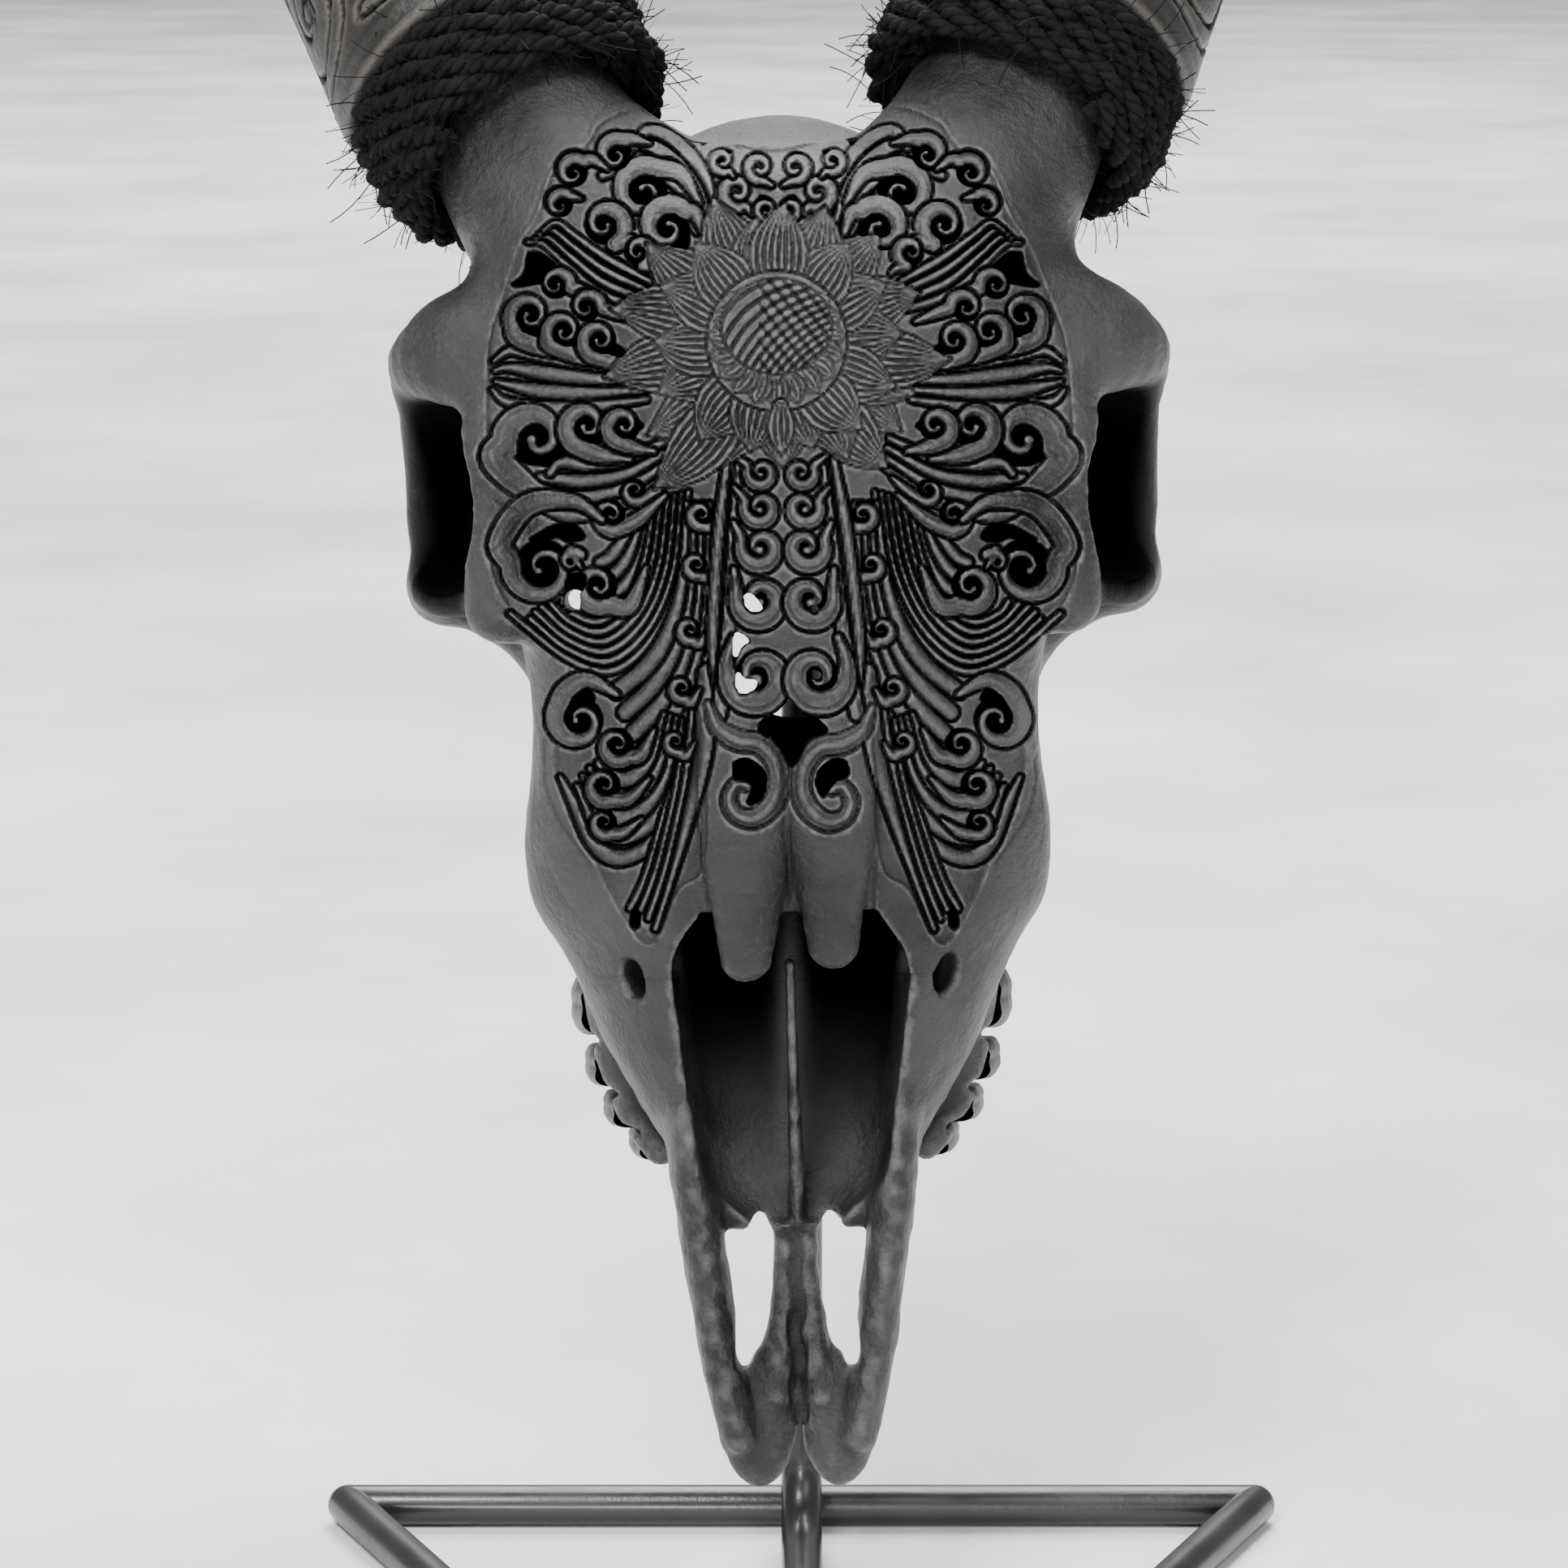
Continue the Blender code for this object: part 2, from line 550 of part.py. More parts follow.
def build_rope(side, label, parts, frame, mat):
    """Turns of rope round the bare horn neck, fused in one turned ring with a lobe for each turn."""
    outline = []
    lobes = ROPE_TURNS * 3
    for k in range(lobes + 1):
        share = k / lobes
        distance = ROPE_START + (ROPE_END - ROPE_START) * share
        lobe = abs(math.sin(math.pi * ROPE_TURNS * share))
        ends = min(1.0, 4.0 * min(share, 1.3 - share) + 0.35)
        radius = CORE_NECK_RADIUS + (ROPE_RADIUS - CORE_NECK_RADIUS) * ends
        outline.append((distance, radius - 1.6 * MM * (1.0 - lobe)))
    for distance in (ROPE_END, ROPE_START):
        outline.append((distance, core_radius(distance) + WRAP_ROOM))
    segments = 18
    bm = bmesh.new()
    rows = []
    for k in range(segments):
        rows.append([])
        for distance, radius in outline:
            ring = horn_ring(side, distance, radius, segments)
            rows[-1].append(bm.verts.new(ring[k]))
    for k in range(segments):
        here, there = rows[k], rows[(k + 1) % segments]
        for i in range(len(outline)):
            j = (i + 1) % len(outline)
            bm.faces.new((here[i], there[i], there[j], here[j]))
    bmesh.ops.recalc_face_normals(bm, faces=bm.faces)
    mesh = bpy.data.meshes.new(f"{label}_rope")
    bm.to_mesh(mesh)
    bm.free()
    add_object(f"{label}_rope", mesh, parts, mat, frame)


# Stand

def bar_between(name, start, end, parts, mat, round_start=False, round_end=False):
    """A straight round bar as a curve with one facet lying flat on the floor."""
    start, end = Vector(start), Vector(end)
    along = (end - start).normalized()
    points = [(start, 1.0), (end, 1.0)]
    if round_start:
        points = [(start - along * BAR_RADIUS, 0.30), (start - along * 0.7 * BAR_RADIUS, 0.74)] + points
    if round_end:
        points = points + [(end + along * 0.7 * BAR_RADIUS, 0.74), (end + along * BAR_RADIUS, 0.30)]
    return bar_curve(name, points, parts, mat)


def bar_curve(name, points, parts, mat, twist="Z_UP"):
    data = bpy.data.curves.new(name, "CURVE")
    data.dimensions = "3D"
    data.bevel_depth = BAR_RADIUS / math.cos(math.pi / 8)
    data.bevel_resolution = BAR_BEVEL
    data.use_fill_caps = True
    data.twist_mode = twist
    spline = data.splines.new("POLY")
    spline.points.add(len(points) - 1)
    for point, (place, radius) in zip(spline.points, points):
        point.co = (*place, 1.0)
        point.radius = radius
        point.tilt = math.pi / 8
    obj = bpy.data.objects.new(name, data)
    data.materials.append(mat)
    parts.objects.link(obj)
    return obj


def as_mesh(obj, name, parts):
    """Turns a bar's curve into a mesh of the same name, with its caps welded on."""
    graph = bpy.context.evaluated_depsgraph_get()
    mesh = bpy.data.meshes.new_from_object(obj.evaluated_get(graph))
    bm = bmesh.new()
    bm.from_mesh(mesh)
    bmesh.ops.remove_doubles(bm, verts=bm.verts, dist=WELD_REACH)
    bmesh.ops.recalc_face_normals(bm, faces=bm.faces)
    bm.to_mesh(mesh)
    bm.free()
    mesh.shade_smooth()
    mesh.set_sharp_from_angle(angle=SHARP_ANGLE)
    place = obj.matrix_world.copy()
    bpy.data.objects.remove(obj, do_unlink=True)
    made = bpy.data.objects.new(name, mesh)
    made.matrix_world = place
    parts.objects.link(made)
    return made


def rod_points():
    """Middle line of the centre rod: back along the floor, up behind the muzzle, over into the skull."""
    floor = BAR_RADIUS
    upright_y = -2.0 * BAR_RADIUS - ROD_ROOM
    apex_y = -BASE_DEPTH + 5.0 * BAR_RADIUS
    points = [Vector((0.0, apex_y, floor)), Vector((0.0, upright_y - ROD_BEND, floor))]
    for k in range(1, 6):
        angle = math.pi / 2 * k / 5
        points.append(
            Vector(
                (
                    0.0,
                    upright_y - ROD_BEND + ROD_BEND * math.sin(angle),
                    floor + ROD_BEND * (1.0 - math.cos(angle)),
                )
            )
        )
    return points


def build_stand(parts, cuts, mat):
    floor = BAR_RADIUS
    left = Vector((-BASE_WIDTH / 2, 0.0, floor))
    right = Vector((BASE_WIDTH / 2, 0.0, floor))
    apex = Vector((0.0, -BASE_DEPTH, floor))
    rear = as_mesh(bar_between("rear_raw", left, right, parts, mat), "stand_rear_bar", parts)
    other = (right - apex).normalized() * BAR_RADIUS
    as_mesh(bar_between("left_raw", apex, left, parts, mat, True, True), "stand_left_bar", parts)
    right_bar = as_mesh(
        bar_between("right_raw", apex + other, right, parts, mat, False, True), "stand_right_bar", parts
    )
    points = rod_points()
    smooth = catmull_points([points[-1], *[Vector((0.0, y, z)) * MM for y, z in ROD_KNOTS]], 3)
    middle_line = [(p, 1.0) for p in points + smooth[1:]]
    rod = as_mesh(bar_curve("rod_raw", middle_line, parts, mat, "MINIMUM"), "stand_rod", parts)

    def grown(name, start, end):
        """The outside of a neighbouring bar with the welding gap, used to cope a bar's end."""
        along = (end - start).normalized()
        bm = bmesh.new()
        turn = Vector((0.0, 0.0, 1.0)).rotation_difference(along).to_matrix().to_4x4()
        place = Matrix.Translation((start + end) / 2) @ turn
        bmesh.ops.create_cone(
            bm,
            cap_ends=True,
            segments=24,
            radius1=BAR_RADIUS * COPE_SPREAD + GAP,
            radius2=BAR_RADIUS * COPE_SPREAD + GAP,
            depth=(end - start).length + 4.0 * BAR_RADIUS,
            matrix=place,
        )
        mesh = bpy.data.meshes.new(name)
        bm.to_mesh(mesh)
        bm.free()
        return as_cutter(add_object(name, mesh, cuts))

    left_cut = grown("left_bar_cope", apex, left)
    right_cut = grown("right_bar_cope", apex, right)
    copes = ((rear, (left_cut, right_cut)), (right_bar, (left_cut,)), (rod, (left_cut, right_cut)))
    for obj, cutters in copes:
        obj.data.materials.clear()
        obj.data.materials.append(mat)
        for cutter in cutters:
            cope = obj.modifiers.new(cutter.name, "BOOLEAN")
            cope.operation = "DIFFERENCE"
            cope.object = cutter
            cope.solver = "EXACT"


def catmull_points(knots, steps):
    """Points of a smooth curve through the knots."""
    padded = [2 * knots[0] - knots[1], *knots, 2 * knots[-1] - knots[-2]]
    points = [knots[0]]
    for a, b, c, d in zip(padded, padded[1:], padded[2:], padded[3:]):
        for k in range(1, steps + 1):
            t = k / steps
            points.append(
                0.5
                * (
                    2 * b
                    + (c - a) * t
                    + (2 * a - 5 * b + 4 * c - d) * t * t
                    + (3 * b - a - 3 * c + d) * t * t * t
                )
            )
    return points


def main():
    clear_scene()
    parts = new_collection("carved_goat_skull")
    cuts = new_collection("cutters")
    bone = material("painted_bone", (0.045, 0.045, 0.046), 0.55)
    tooth = material("painted_teeth", (0.03, 0.03, 0.03), 0.5)
    horn = material("carved_horn", (0.05, 0.04, 0.035), 0.5)
    rope = material("black_rope", (0.02, 0.02, 0.02), 0.9)
    steel = material("black_bar", (0.03, 0.03, 0.03), 0.35, 0.6)

    frame = bpy.data.objects.new("skull_frame", None)
    parts.objects.link(frame)
    frame.location = (MUZZLE_SIDE, -MUZZLE_FORWARD, MUZZLE_HEIGHT)
    frame.rotation_euler = (-LEAN_BACK, ROLL, 0.0)

    skull = build_skull(parts, cuts, frame, bone)
    build_teeth(parts, cuts, frame, tooth, skull)
    for side, label in ((-1.0, "left"), (1.0, "right")):
        build_horn(side, label, parts, cuts, frame, horn)
        build_rope(side, label, parts, frame, rope)
    build_stand(parts, cuts, steel)


main()
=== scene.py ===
"""Carved goat skull with horn sheaths and rope wraps on its bar stand: the visible model.

Every piece stands in the frame of the solids: metres, +Z up, the face toward -Y.
The skull is shaped in its own frame, in millimetres: x across, y back from the face, z up the face.
"""

import math

import bmesh
import bpy
import numpy as np
from mathutils import Euler, Matrix, Vector


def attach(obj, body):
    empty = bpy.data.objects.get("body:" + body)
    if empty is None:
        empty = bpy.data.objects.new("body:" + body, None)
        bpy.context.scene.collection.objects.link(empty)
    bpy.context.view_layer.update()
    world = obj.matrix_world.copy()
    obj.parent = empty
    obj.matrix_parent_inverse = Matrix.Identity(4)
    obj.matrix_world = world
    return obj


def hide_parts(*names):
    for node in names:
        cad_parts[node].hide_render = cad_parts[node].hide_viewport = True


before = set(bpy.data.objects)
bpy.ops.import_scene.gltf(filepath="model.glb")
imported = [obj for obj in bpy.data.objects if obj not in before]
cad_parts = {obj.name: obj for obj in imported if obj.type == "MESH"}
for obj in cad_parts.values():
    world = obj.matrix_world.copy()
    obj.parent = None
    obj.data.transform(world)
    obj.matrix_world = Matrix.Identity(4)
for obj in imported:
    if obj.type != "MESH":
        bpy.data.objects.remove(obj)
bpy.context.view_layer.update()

MM = 0.001

# Camera: the photograph's frame is square, 1932 units a side
FRAME_UNITS = 1932
FOCAL_UNITS = 5500.0
CAMERA_PLACE = Vector((-0.0033, -0.79428, 0.32749))
CAMERA_PITCH = math.radians(13.0)

# Where the skull's frame stands
SKULL_PLACE = Vector((-0.0007, -0.090, 0.044))
SKULL_TURN = Euler((math.radians(-10.0), math.radians(-1.1), 0.0))

# Fineness of the skull's two meshes, and the most quads that one piece has
BODY_STEP = 0.9
FACE_STEP = 0.36
PIECE_QUADS = 92000

# The two boxes that are sampled: the whole skull, and the face that is carved
BODY_LOW = (-76.0, -12.0, -7.0)
BODY_HIGH = (76.0, 112.0, 262.0)
FACE_LOW = (-54.0, -10.0, 84.0)
FACE_HIGH = (54.0, 27.0, 238.0)

# Bone left under a cut, the least cut in thin bone, and the depth from which a cut is meant to pierce
THIN_FLOOR = 1.5
LEAST_CUT = 0.3
PIERCING = 14.0

# Ridge heights that count as one on the two meshes, and the depth of a cut that is fully in shade
FACE_RIDGE = 0.16
BODY_RIDGE = 0.35
FULL_SHADE = 5.0

# Seam of the two meshes: how far the coarse one runs on under the fine one, from where, and how deep
SEAM_OVERLAP = 1.4
SEAM_START = 0.3
SEAM_DEPTH = 0.14

# How far outside each kind of solid its distance is still worked out
EGG_MARGIN = 4.0
TUBE_MARGIN = 3.0
LOFT_MARGIN = 8.0

# Distances that stand for far away and for nothing near, and the least length that is divided by
FAR = 40.0
UNREACHED = 1e9
TINY = 1e-9


def camera_axes():
    """The camera's line of sight and its upward direction."""
    sight = np.array((0.0, math.cos(CAMERA_PITCH), -math.sin(CAMERA_PITCH)))
    up = np.array((0.0, math.sin(CAMERA_PITCH), math.cos(CAMERA_PITCH)))
    return sight, up


def new_object(name, data):
    obj = bpy.data.objects.new(name, data)
    bpy.context.scene.collection.objects.link(obj)
    return obj


def add_piece(name, mesh, node, mat=None):
    """Makes a piece of a finished mesh, hangs it on the one body and hides the part of the solids that it
    stands for.
    """
    if mat:
        mesh.materials.append(mat)
    piece = new_object(name, mesh)
    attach(piece, "root")
    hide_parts(node)


def plain_mesh(name, points, faces, attributes=(), normals=None):
    """A smooth mesh from arrays: points in metres, faces as rows of three or four corners."""
    points = np.asarray(points, np.float32)
    faces = np.asarray(faces, np.int32)
    corners = faces.shape[1]
    mesh = bpy.data.meshes.new(name)
    mesh.vertices.add(len(points))
    mesh.vertices.foreach_set("co", points.ravel())
    mesh.loops.add(faces.size)
    mesh.loops.foreach_set("vertex_index", faces.ravel())
    mesh.polygons.add(len(faces))
    mesh.polygons.foreach_set("loop_start", np.arange(0, faces.size, corners, dtype=np.int32))
    mesh.update(calc_edges=True)
    mesh.shade_smooth()
    for label, values in attributes:
        layer = mesh.attributes.new(label, "FLOAT", "POINT")
        layer.data.foreach_set("value", np.asarray(values, np.float32))
    if normals is not None:
        mesh.normals_split_custom_set_from_vertices(normals.tolist())
    return mesh


def unit(v):
    return np.asarray(v, float) / np.linalg.norm(v)


def smooth_path(points, step):
    """Points at an even step along a smooth curve through the given ones."""
    p = np.asarray(points, float)
    if len(p) < 3:
        count = max(2, int(np.linalg.norm(p[-1] - p[0]) / step) + 1)
        return p[0] + np.linspace(0, 1, count)[:, None] * (p[-1] - p[0])
    padded = np.vstack([2 * p[0] - p[1], p, 2 * p[-1] - p[-2]])
    out = [p[0]]
    for a, b, c, d in zip(padded, padded[1:], padded[2:], padded[3:]):
        count = max(1, int(np.linalg.norm(c - b) / step))
        for k in range(1, count + 1):
            t = k / count
            bend = (2 * a - 5 * b + 4 * c - d) * t * t + (3 * b - a - 3 * c + d) * t**3
            out.append(0.5 * (2 * b + (c - a) * t + bend))
    return np.array(out)


def cubic_axis(values, axis, places):
    """Samples an array at fractional places along one axis, with a smooth cubic."""
    size = values.shape[axis]
    base = np.clip(np.floor(places).astype(int), 1, size - 3)
    t = (places - base).astype(np.float32)
    weights = (
        -0.5 * t + t**2 - 0.5 * t**3,
        1 - 2.5 * t**2 + 1.5 * t**3,
        0.5 * t + 2 * t**2 - 1.5 * t**3,
        -0.5 * t**2 + 0.5 * t**3,
    )
    shape = [1] * values.ndim
    shape[axis] = len(places)
    total = 0.0
    for shift, weight in zip((-1, 0, 1, 2), weights):
        total = total + np.take(values, base + shift, axis) * weight.reshape(shape)
    return total


def soft_noise(shape, cell, seed):
    """Smooth noise between about -1 and 1, its blobs cell samples wide."""
    rng = np.random.default_rng(seed)
    values = rng.uniform(-1, 1, [int(n / cell) + 5 for n in shape]).astype(np.float32)
    for axis, count in enumerate(shape):
        values = cubic_axis(values, axis, 1.0 + np.arange(count) / cell)
    return values


# Skull solid, as a field: negative inside the bone, about its distance in millimetres outside

class Field:
    """Samples on a regular grid, built up from blended solids and cuts."""

    def __init__(self, low, high, step):
        self.low, self.step = np.array(low, float), step
        self.shape = tuple(int(round((h - l) / step)) + 1 for l, h in zip(low, high))
        self.values = np.full(self.shape, FAR, np.float32)

    def part(self, low, high):
        """The slices of a box, and the x, y and z of its samples."""
        first = np.clip(np.floor((np.array(low) - self.low) / self.step).astype(int), 0, self.shape)
        last = np.clip(np.ceil((np.array(high) - self.low) / self.step).astype(int) + 1, 0, self.shape)
        where = tuple(slice(a, b) for a, b in zip(first, last))
        axes = [self.low[i] + self.step * np.arange(first[i], last[i], dtype=np.float32) for i in range(3)]
        return where, axes[0][:, None, None], axes[1][None, :, None], axes[2][None, None, :]

    def add(self, where, distance, blend):
        """Joins a solid to the field, with a fillet as wide as the blend."""
        here = self.values[where]
        h = np.clip(0.5 + 0.5 * (here - distance) / blend, 0, 1)
        self.values[where] = here + (distance - here) * h - blend * h * (1 - h)

    def cut(self, where, distance, blend):
        """Takes a solid out of the field, with an edge as round as the blend."""
        here = self.values[where]
        h = np.clip(0.5 - 0.5 * (here + distance) / blend, 0, 1)
        self.values[where] = -(-here + (distance + here) * h - blend * h * (1 - h))

    def ellipsoid(self, centre, radii, turn=(0.0, 0.0, 0.0), blend=4.0, cut=False):
        """An egg about a centre, turned about X, Y and Z in degrees."""
        rotation = Matrix.Identity(3)
        for axis, angle in zip("XYZ", turn):
            rotation = Matrix.Rotation(math.radians(angle), 3, axis) @ rotation
        reach = max(radii) + blend + EGG_MARGIN
        where, x, y, z = self.part(np.array(centre) - reach, np.array(centre) + reach)
        x, y, z = x - centre[0], y - centre[1], z - centre[2]
        axes = [[rotation[row][col] for row in range(3)] for col in range(3)]
        local = [a[0] * x + a[1] * y + a[2] * z for a in axes]
        near = np.sqrt(sum((p / r) ** 2 for p, r in zip(local, radii))) + 1e-6
        slope = np.sqrt(sum((p / r**2) ** 2 for p, r in zip(local, radii))) + 1e-6
        distance = near * (near - 1.0) / slope
        (self.cut if cut else self.add)(where, distance, blend)

    def chain(self, points, radii, squash=1.0, blend=3.0, cut=False, step=3.0):
        """A tapered tube along a smooth path, its depth along y stretched by squash."""
        points = np.asarray(points, float)
        path = smooth_path(points, step)
        width = np.interp(np.linspace(0, 1, len(path)), np.linspace(0, 1, len(radii)), radii)
        reach = max(radii) * max(1.0, squash) + blend + TUBE_MARGIN
        where, x, y, z = self.part(path.min(0) - reach, path.max(0) + reach)
        best = np.full(np.broadcast_shapes(x.shape, y.shape, z.shape), FAR, np.float32)
        for (a, b), (ra, rb) in zip(zip(path, path[1:]), zip(width, width[1:])):
            ax, ay, az = a
            dx, dy, dz = b - a
            dy_s = dy / squash
            length = max(dx * dx + dy_s * dy_s + dz * dz, TINY)
            px, py, pz = x - ax, (y - ay) / squash, z - az
            t = np.clip((px * dx + py * dy_s + pz * dz) / length, 0, 1)
            gap = np.sqrt((px - t * dx) ** 2 + (py - t * dy_s) ** 2 + (pz - t * dz) ** 2)
            best = np.minimum(best, gap - (ra + (rb - ra) * t))
        (self.cut if cut else self.add)(where, best, blend)

    def loft(self, sections, blend=3.0, cut=False):
        """Sections across z: half width, front, widest and back depth, and the two powers."""
        sections = np.array(sections, float)
        low, high = sections[0, 0], sections[-1, 0]
        wide = sections[:, 1].max()
        first = np.array((-wide, sections[:, 2].min(), low)) - LOFT_MARGIN
        last = np.array((wide, sections[:, 4].max(), high)) + LOFT_MARGIN
        where, x, y, z = self.part(first, last)
        at = np.clip(z.ravel(), low, high)
        columns = [smooth_interp(at, sections[:, 0], sections[:, k]).astype(np.float32) for k in range(1, 7)]
        half, front, middle, back, front_power, back_power = (c[None, None, :] for c in columns)
        dy = y - middle
        power = np.where(dy < 0, front_power, back_power)
        reach = np.where(dy < 0, middle - front, back - middle)
        ratio = (np.abs(x / half) ** power + np.abs(dy / reach) ** power) ** (1.0 / power) + 1e-6
        distance = np.sqrt(x**2 + dy**2) * (1.0 - 1.0 / ratio)
        over = np.maximum(low - z, z - high)
        distance = np.where(over > 0, np.hypot(np.maximum(distance, 0), over), np.maximum(distance, over))
        (self.cut if cut else self.add)(where, distance.astype(np.float32), blend)


def smooth_interp(at, places, values):
    """A monotone cubic through the given values."""
    slope = np.gradient(values, places)
    index = np.clip(np.searchsorted(places, at) - 1, 0, len(places) - 2)
    width = places[index + 1] - places[index]
    t = (at - places[index]) / width
    a, b = values[index], values[index + 1]
    ma, mb = slope[index] * width, slope[index + 1] * width
    return (a * (1 + 2 * t) + ma * t) * (1 - t) ** 2 + (b * (3 - 2 * t) + mb * (t - 1)) * t * t


def surface_nets(values, low, step):
    """Points and outward quads of the field's zero surface."""
    inside = values < 0
    count = np.zeros([n - 1 for n in values.shape], np.int8)
    corners = [(i, j, k) for i in (0, 1) for j in (0, 1) for k in (0, 1)]
    for i, j, k in corners:
        count += inside[i : inside.shape[0] - 1 + i, j : inside.shape[1] - 1 + j, k : inside.shape[2] - 1 + k]
    active = (count > 0) & (count < 8)
    cells = np.argwhere(active)
    number = np.full(active.shape, -1, np.int32)
    number[active] = np.arange(len(cells))
    heights = {c: values[cells[:, 0] + c[0], cells[:, 1] + c[1], cells[:, 2] + c[2]] for c in corners}
    total = np.zeros((len(cells), 3))
    crossings = np.zeros(len(cells))
    for a in corners:
        for axis in range(3):
            if a[axis]:
                continue
            b = tuple(1 if i == axis else a[i] for i in range(3))
            first, second = heights[a], heights[b]
            crosses = (first < 0) != (second < 0)
            t = np.where(crosses, first / np.where(crosses, first - second, 1.0), 0.0)
            for i in range(3):
                total[:, i] += np.where(crosses, a[i] + (t if i == axis else 0.0), 0.0)
            crossings += crosses
    points = (cells + total / crossings[:, None]) * step + np.array(low)
    quads = []
    inner = slice(1, -1)
    for axis in range(3):
        lower = [inner, inner, inner]
        upper = [inner, inner, inner]
        lower[axis], upper[axis] = slice(0, -1), slice(1, None)
        starts, ends = inside[tuple(lower)], inside[tuple(upper)]
        edge = np.argwhere(starts != ends)
        outward = starts[tuple(edge.T)]
        edge = edge + [0 if i == axis else 1 for i in range(3)]
        u, v = (axis + 1) % 3, (axis + 2) % 3
        ring = []
        for du, dv in ((-1, -1), (0, -1), (0, 0), (-1, 0)):
            cell = edge.copy()
            cell[:, u] += du
            cell[:, v] += dv
            ring.append(number[tuple(cell.T)])
        ring = np.stack(ring, 1)
        ring[~outward] = ring[~outward][:, ::-1]
        quads.append(ring)
    return points, np.concatenate(quads)


# Skull forms in the skull's frame

# Where each horn core starts and the way it points, and how the sheath bends on from there
HORN_ROOT = {-1: np.array((-25.0, 17.0, 199.5)), 1: np.array((24.0, 17.0, 201.0))}
HORN_AXIS = {-1: np.array((-0.47, 0.42, 0.78)), 1: np.array((0.43, 0.42, 0.80))}
HORN_SWEEP = np.array((0.10, 0.86, -0.50))
NECK_LENGTH = 53.0
HORN_LENGTH = 250.0
HORN_BEND_RADIUS = 270.0

CORE_ROOT_RADIUS = 21.0
CORE_NECK_RADIUS = 16.6
SHEATH_RADIUS = 27.6
SHEATH_TIP_RADIUS = 2.2
ROPE_START = 34.0

# The muzzle and the forehead as sections from the muzzle's tip to the crest
FACE_SECTIONS = (
    # z, half width, front, widest, back, front power, back power
    (39.0, 16.0, 27.0, 32.0, 38.0, 2.4, 2.6),
    (46.0, 19.0, 23.0, 31.0, 40.0, 2.4, 2.6),
    (54.0, 22.5, 19.0, 33.0, 46.0, 2.3, 3.0),
    (61.0, 27.0, 16.5, 36.0, 49.0, 2.1, 3.2),
    (70.0, 32.2, 14.0, 38.0, 51.0, 2.0, 3.2),
    (80.0, 36.3, 11.5, 38.0, 52.5, 1.9, 3.2),
    (88.0, 40.0, 9.2, 37.0, 53.0, 1.85, 3.0),
    (95.0, 44.2, 7.4, 35.0, 53.5, 1.75, 2.8),
    (106.0, 45.8, 4.8, 33.0, 54.0, 1.75, 2.6),
    (120.0, 44.2, 2.4, 31.0, 54.5, 1.85, 2.6),
    (132.0, 43.8, 0.6, 29.5, 55.0, 2.0, 2.6),
    (142.0, 45.5, -0.6, 29.0, 56.0, 2.1, 2.4),
    (152.0, 48.0, -1.6, 28.0, 58.0, 2.2, 2.2),
    (166.0, 50.0, -2.6, 27.0, 62.0, 2.4, 2.2),
    (180.0, 51.0, -3.2, 27.0, 66.0, 2.5, 2.2),
    (192.0, 49.0, -3.0, 28.0, 70.0, 2.5, 2.2),
    (203.0, 45.0, -1.4, 30.0, 72.0, 2.4, 2.2),
    (212.0, 38.0, 1.6, 33.0, 70.0, 2.3, 2.2),
    (220.0, 28.0, 7.0, 36.0, 64.0, 2.2, 2.2),
    (226.0, 14.0, 16.0, 38.0, 54.0, 2.0, 2.0),
)

# Cheek teeth: half width, depth and height of each crown's middle, and its size
TOOTH_ROWS = (
    (24.8, 50.5, 51.4, 6.0, 5.6),
    (29.0, 51.5, 57.4, 6.8, 6.2),
    (31.8, 52.5, 65.2, 7.6, 7.4),
    (33.4, 53.5, 76.0, 9.0, 11.0),
    (33.6, 54.5, 90.0, 9.6, 13.0),
    (32.6, 55.5, 105.4, 9.6, 14.5),
)


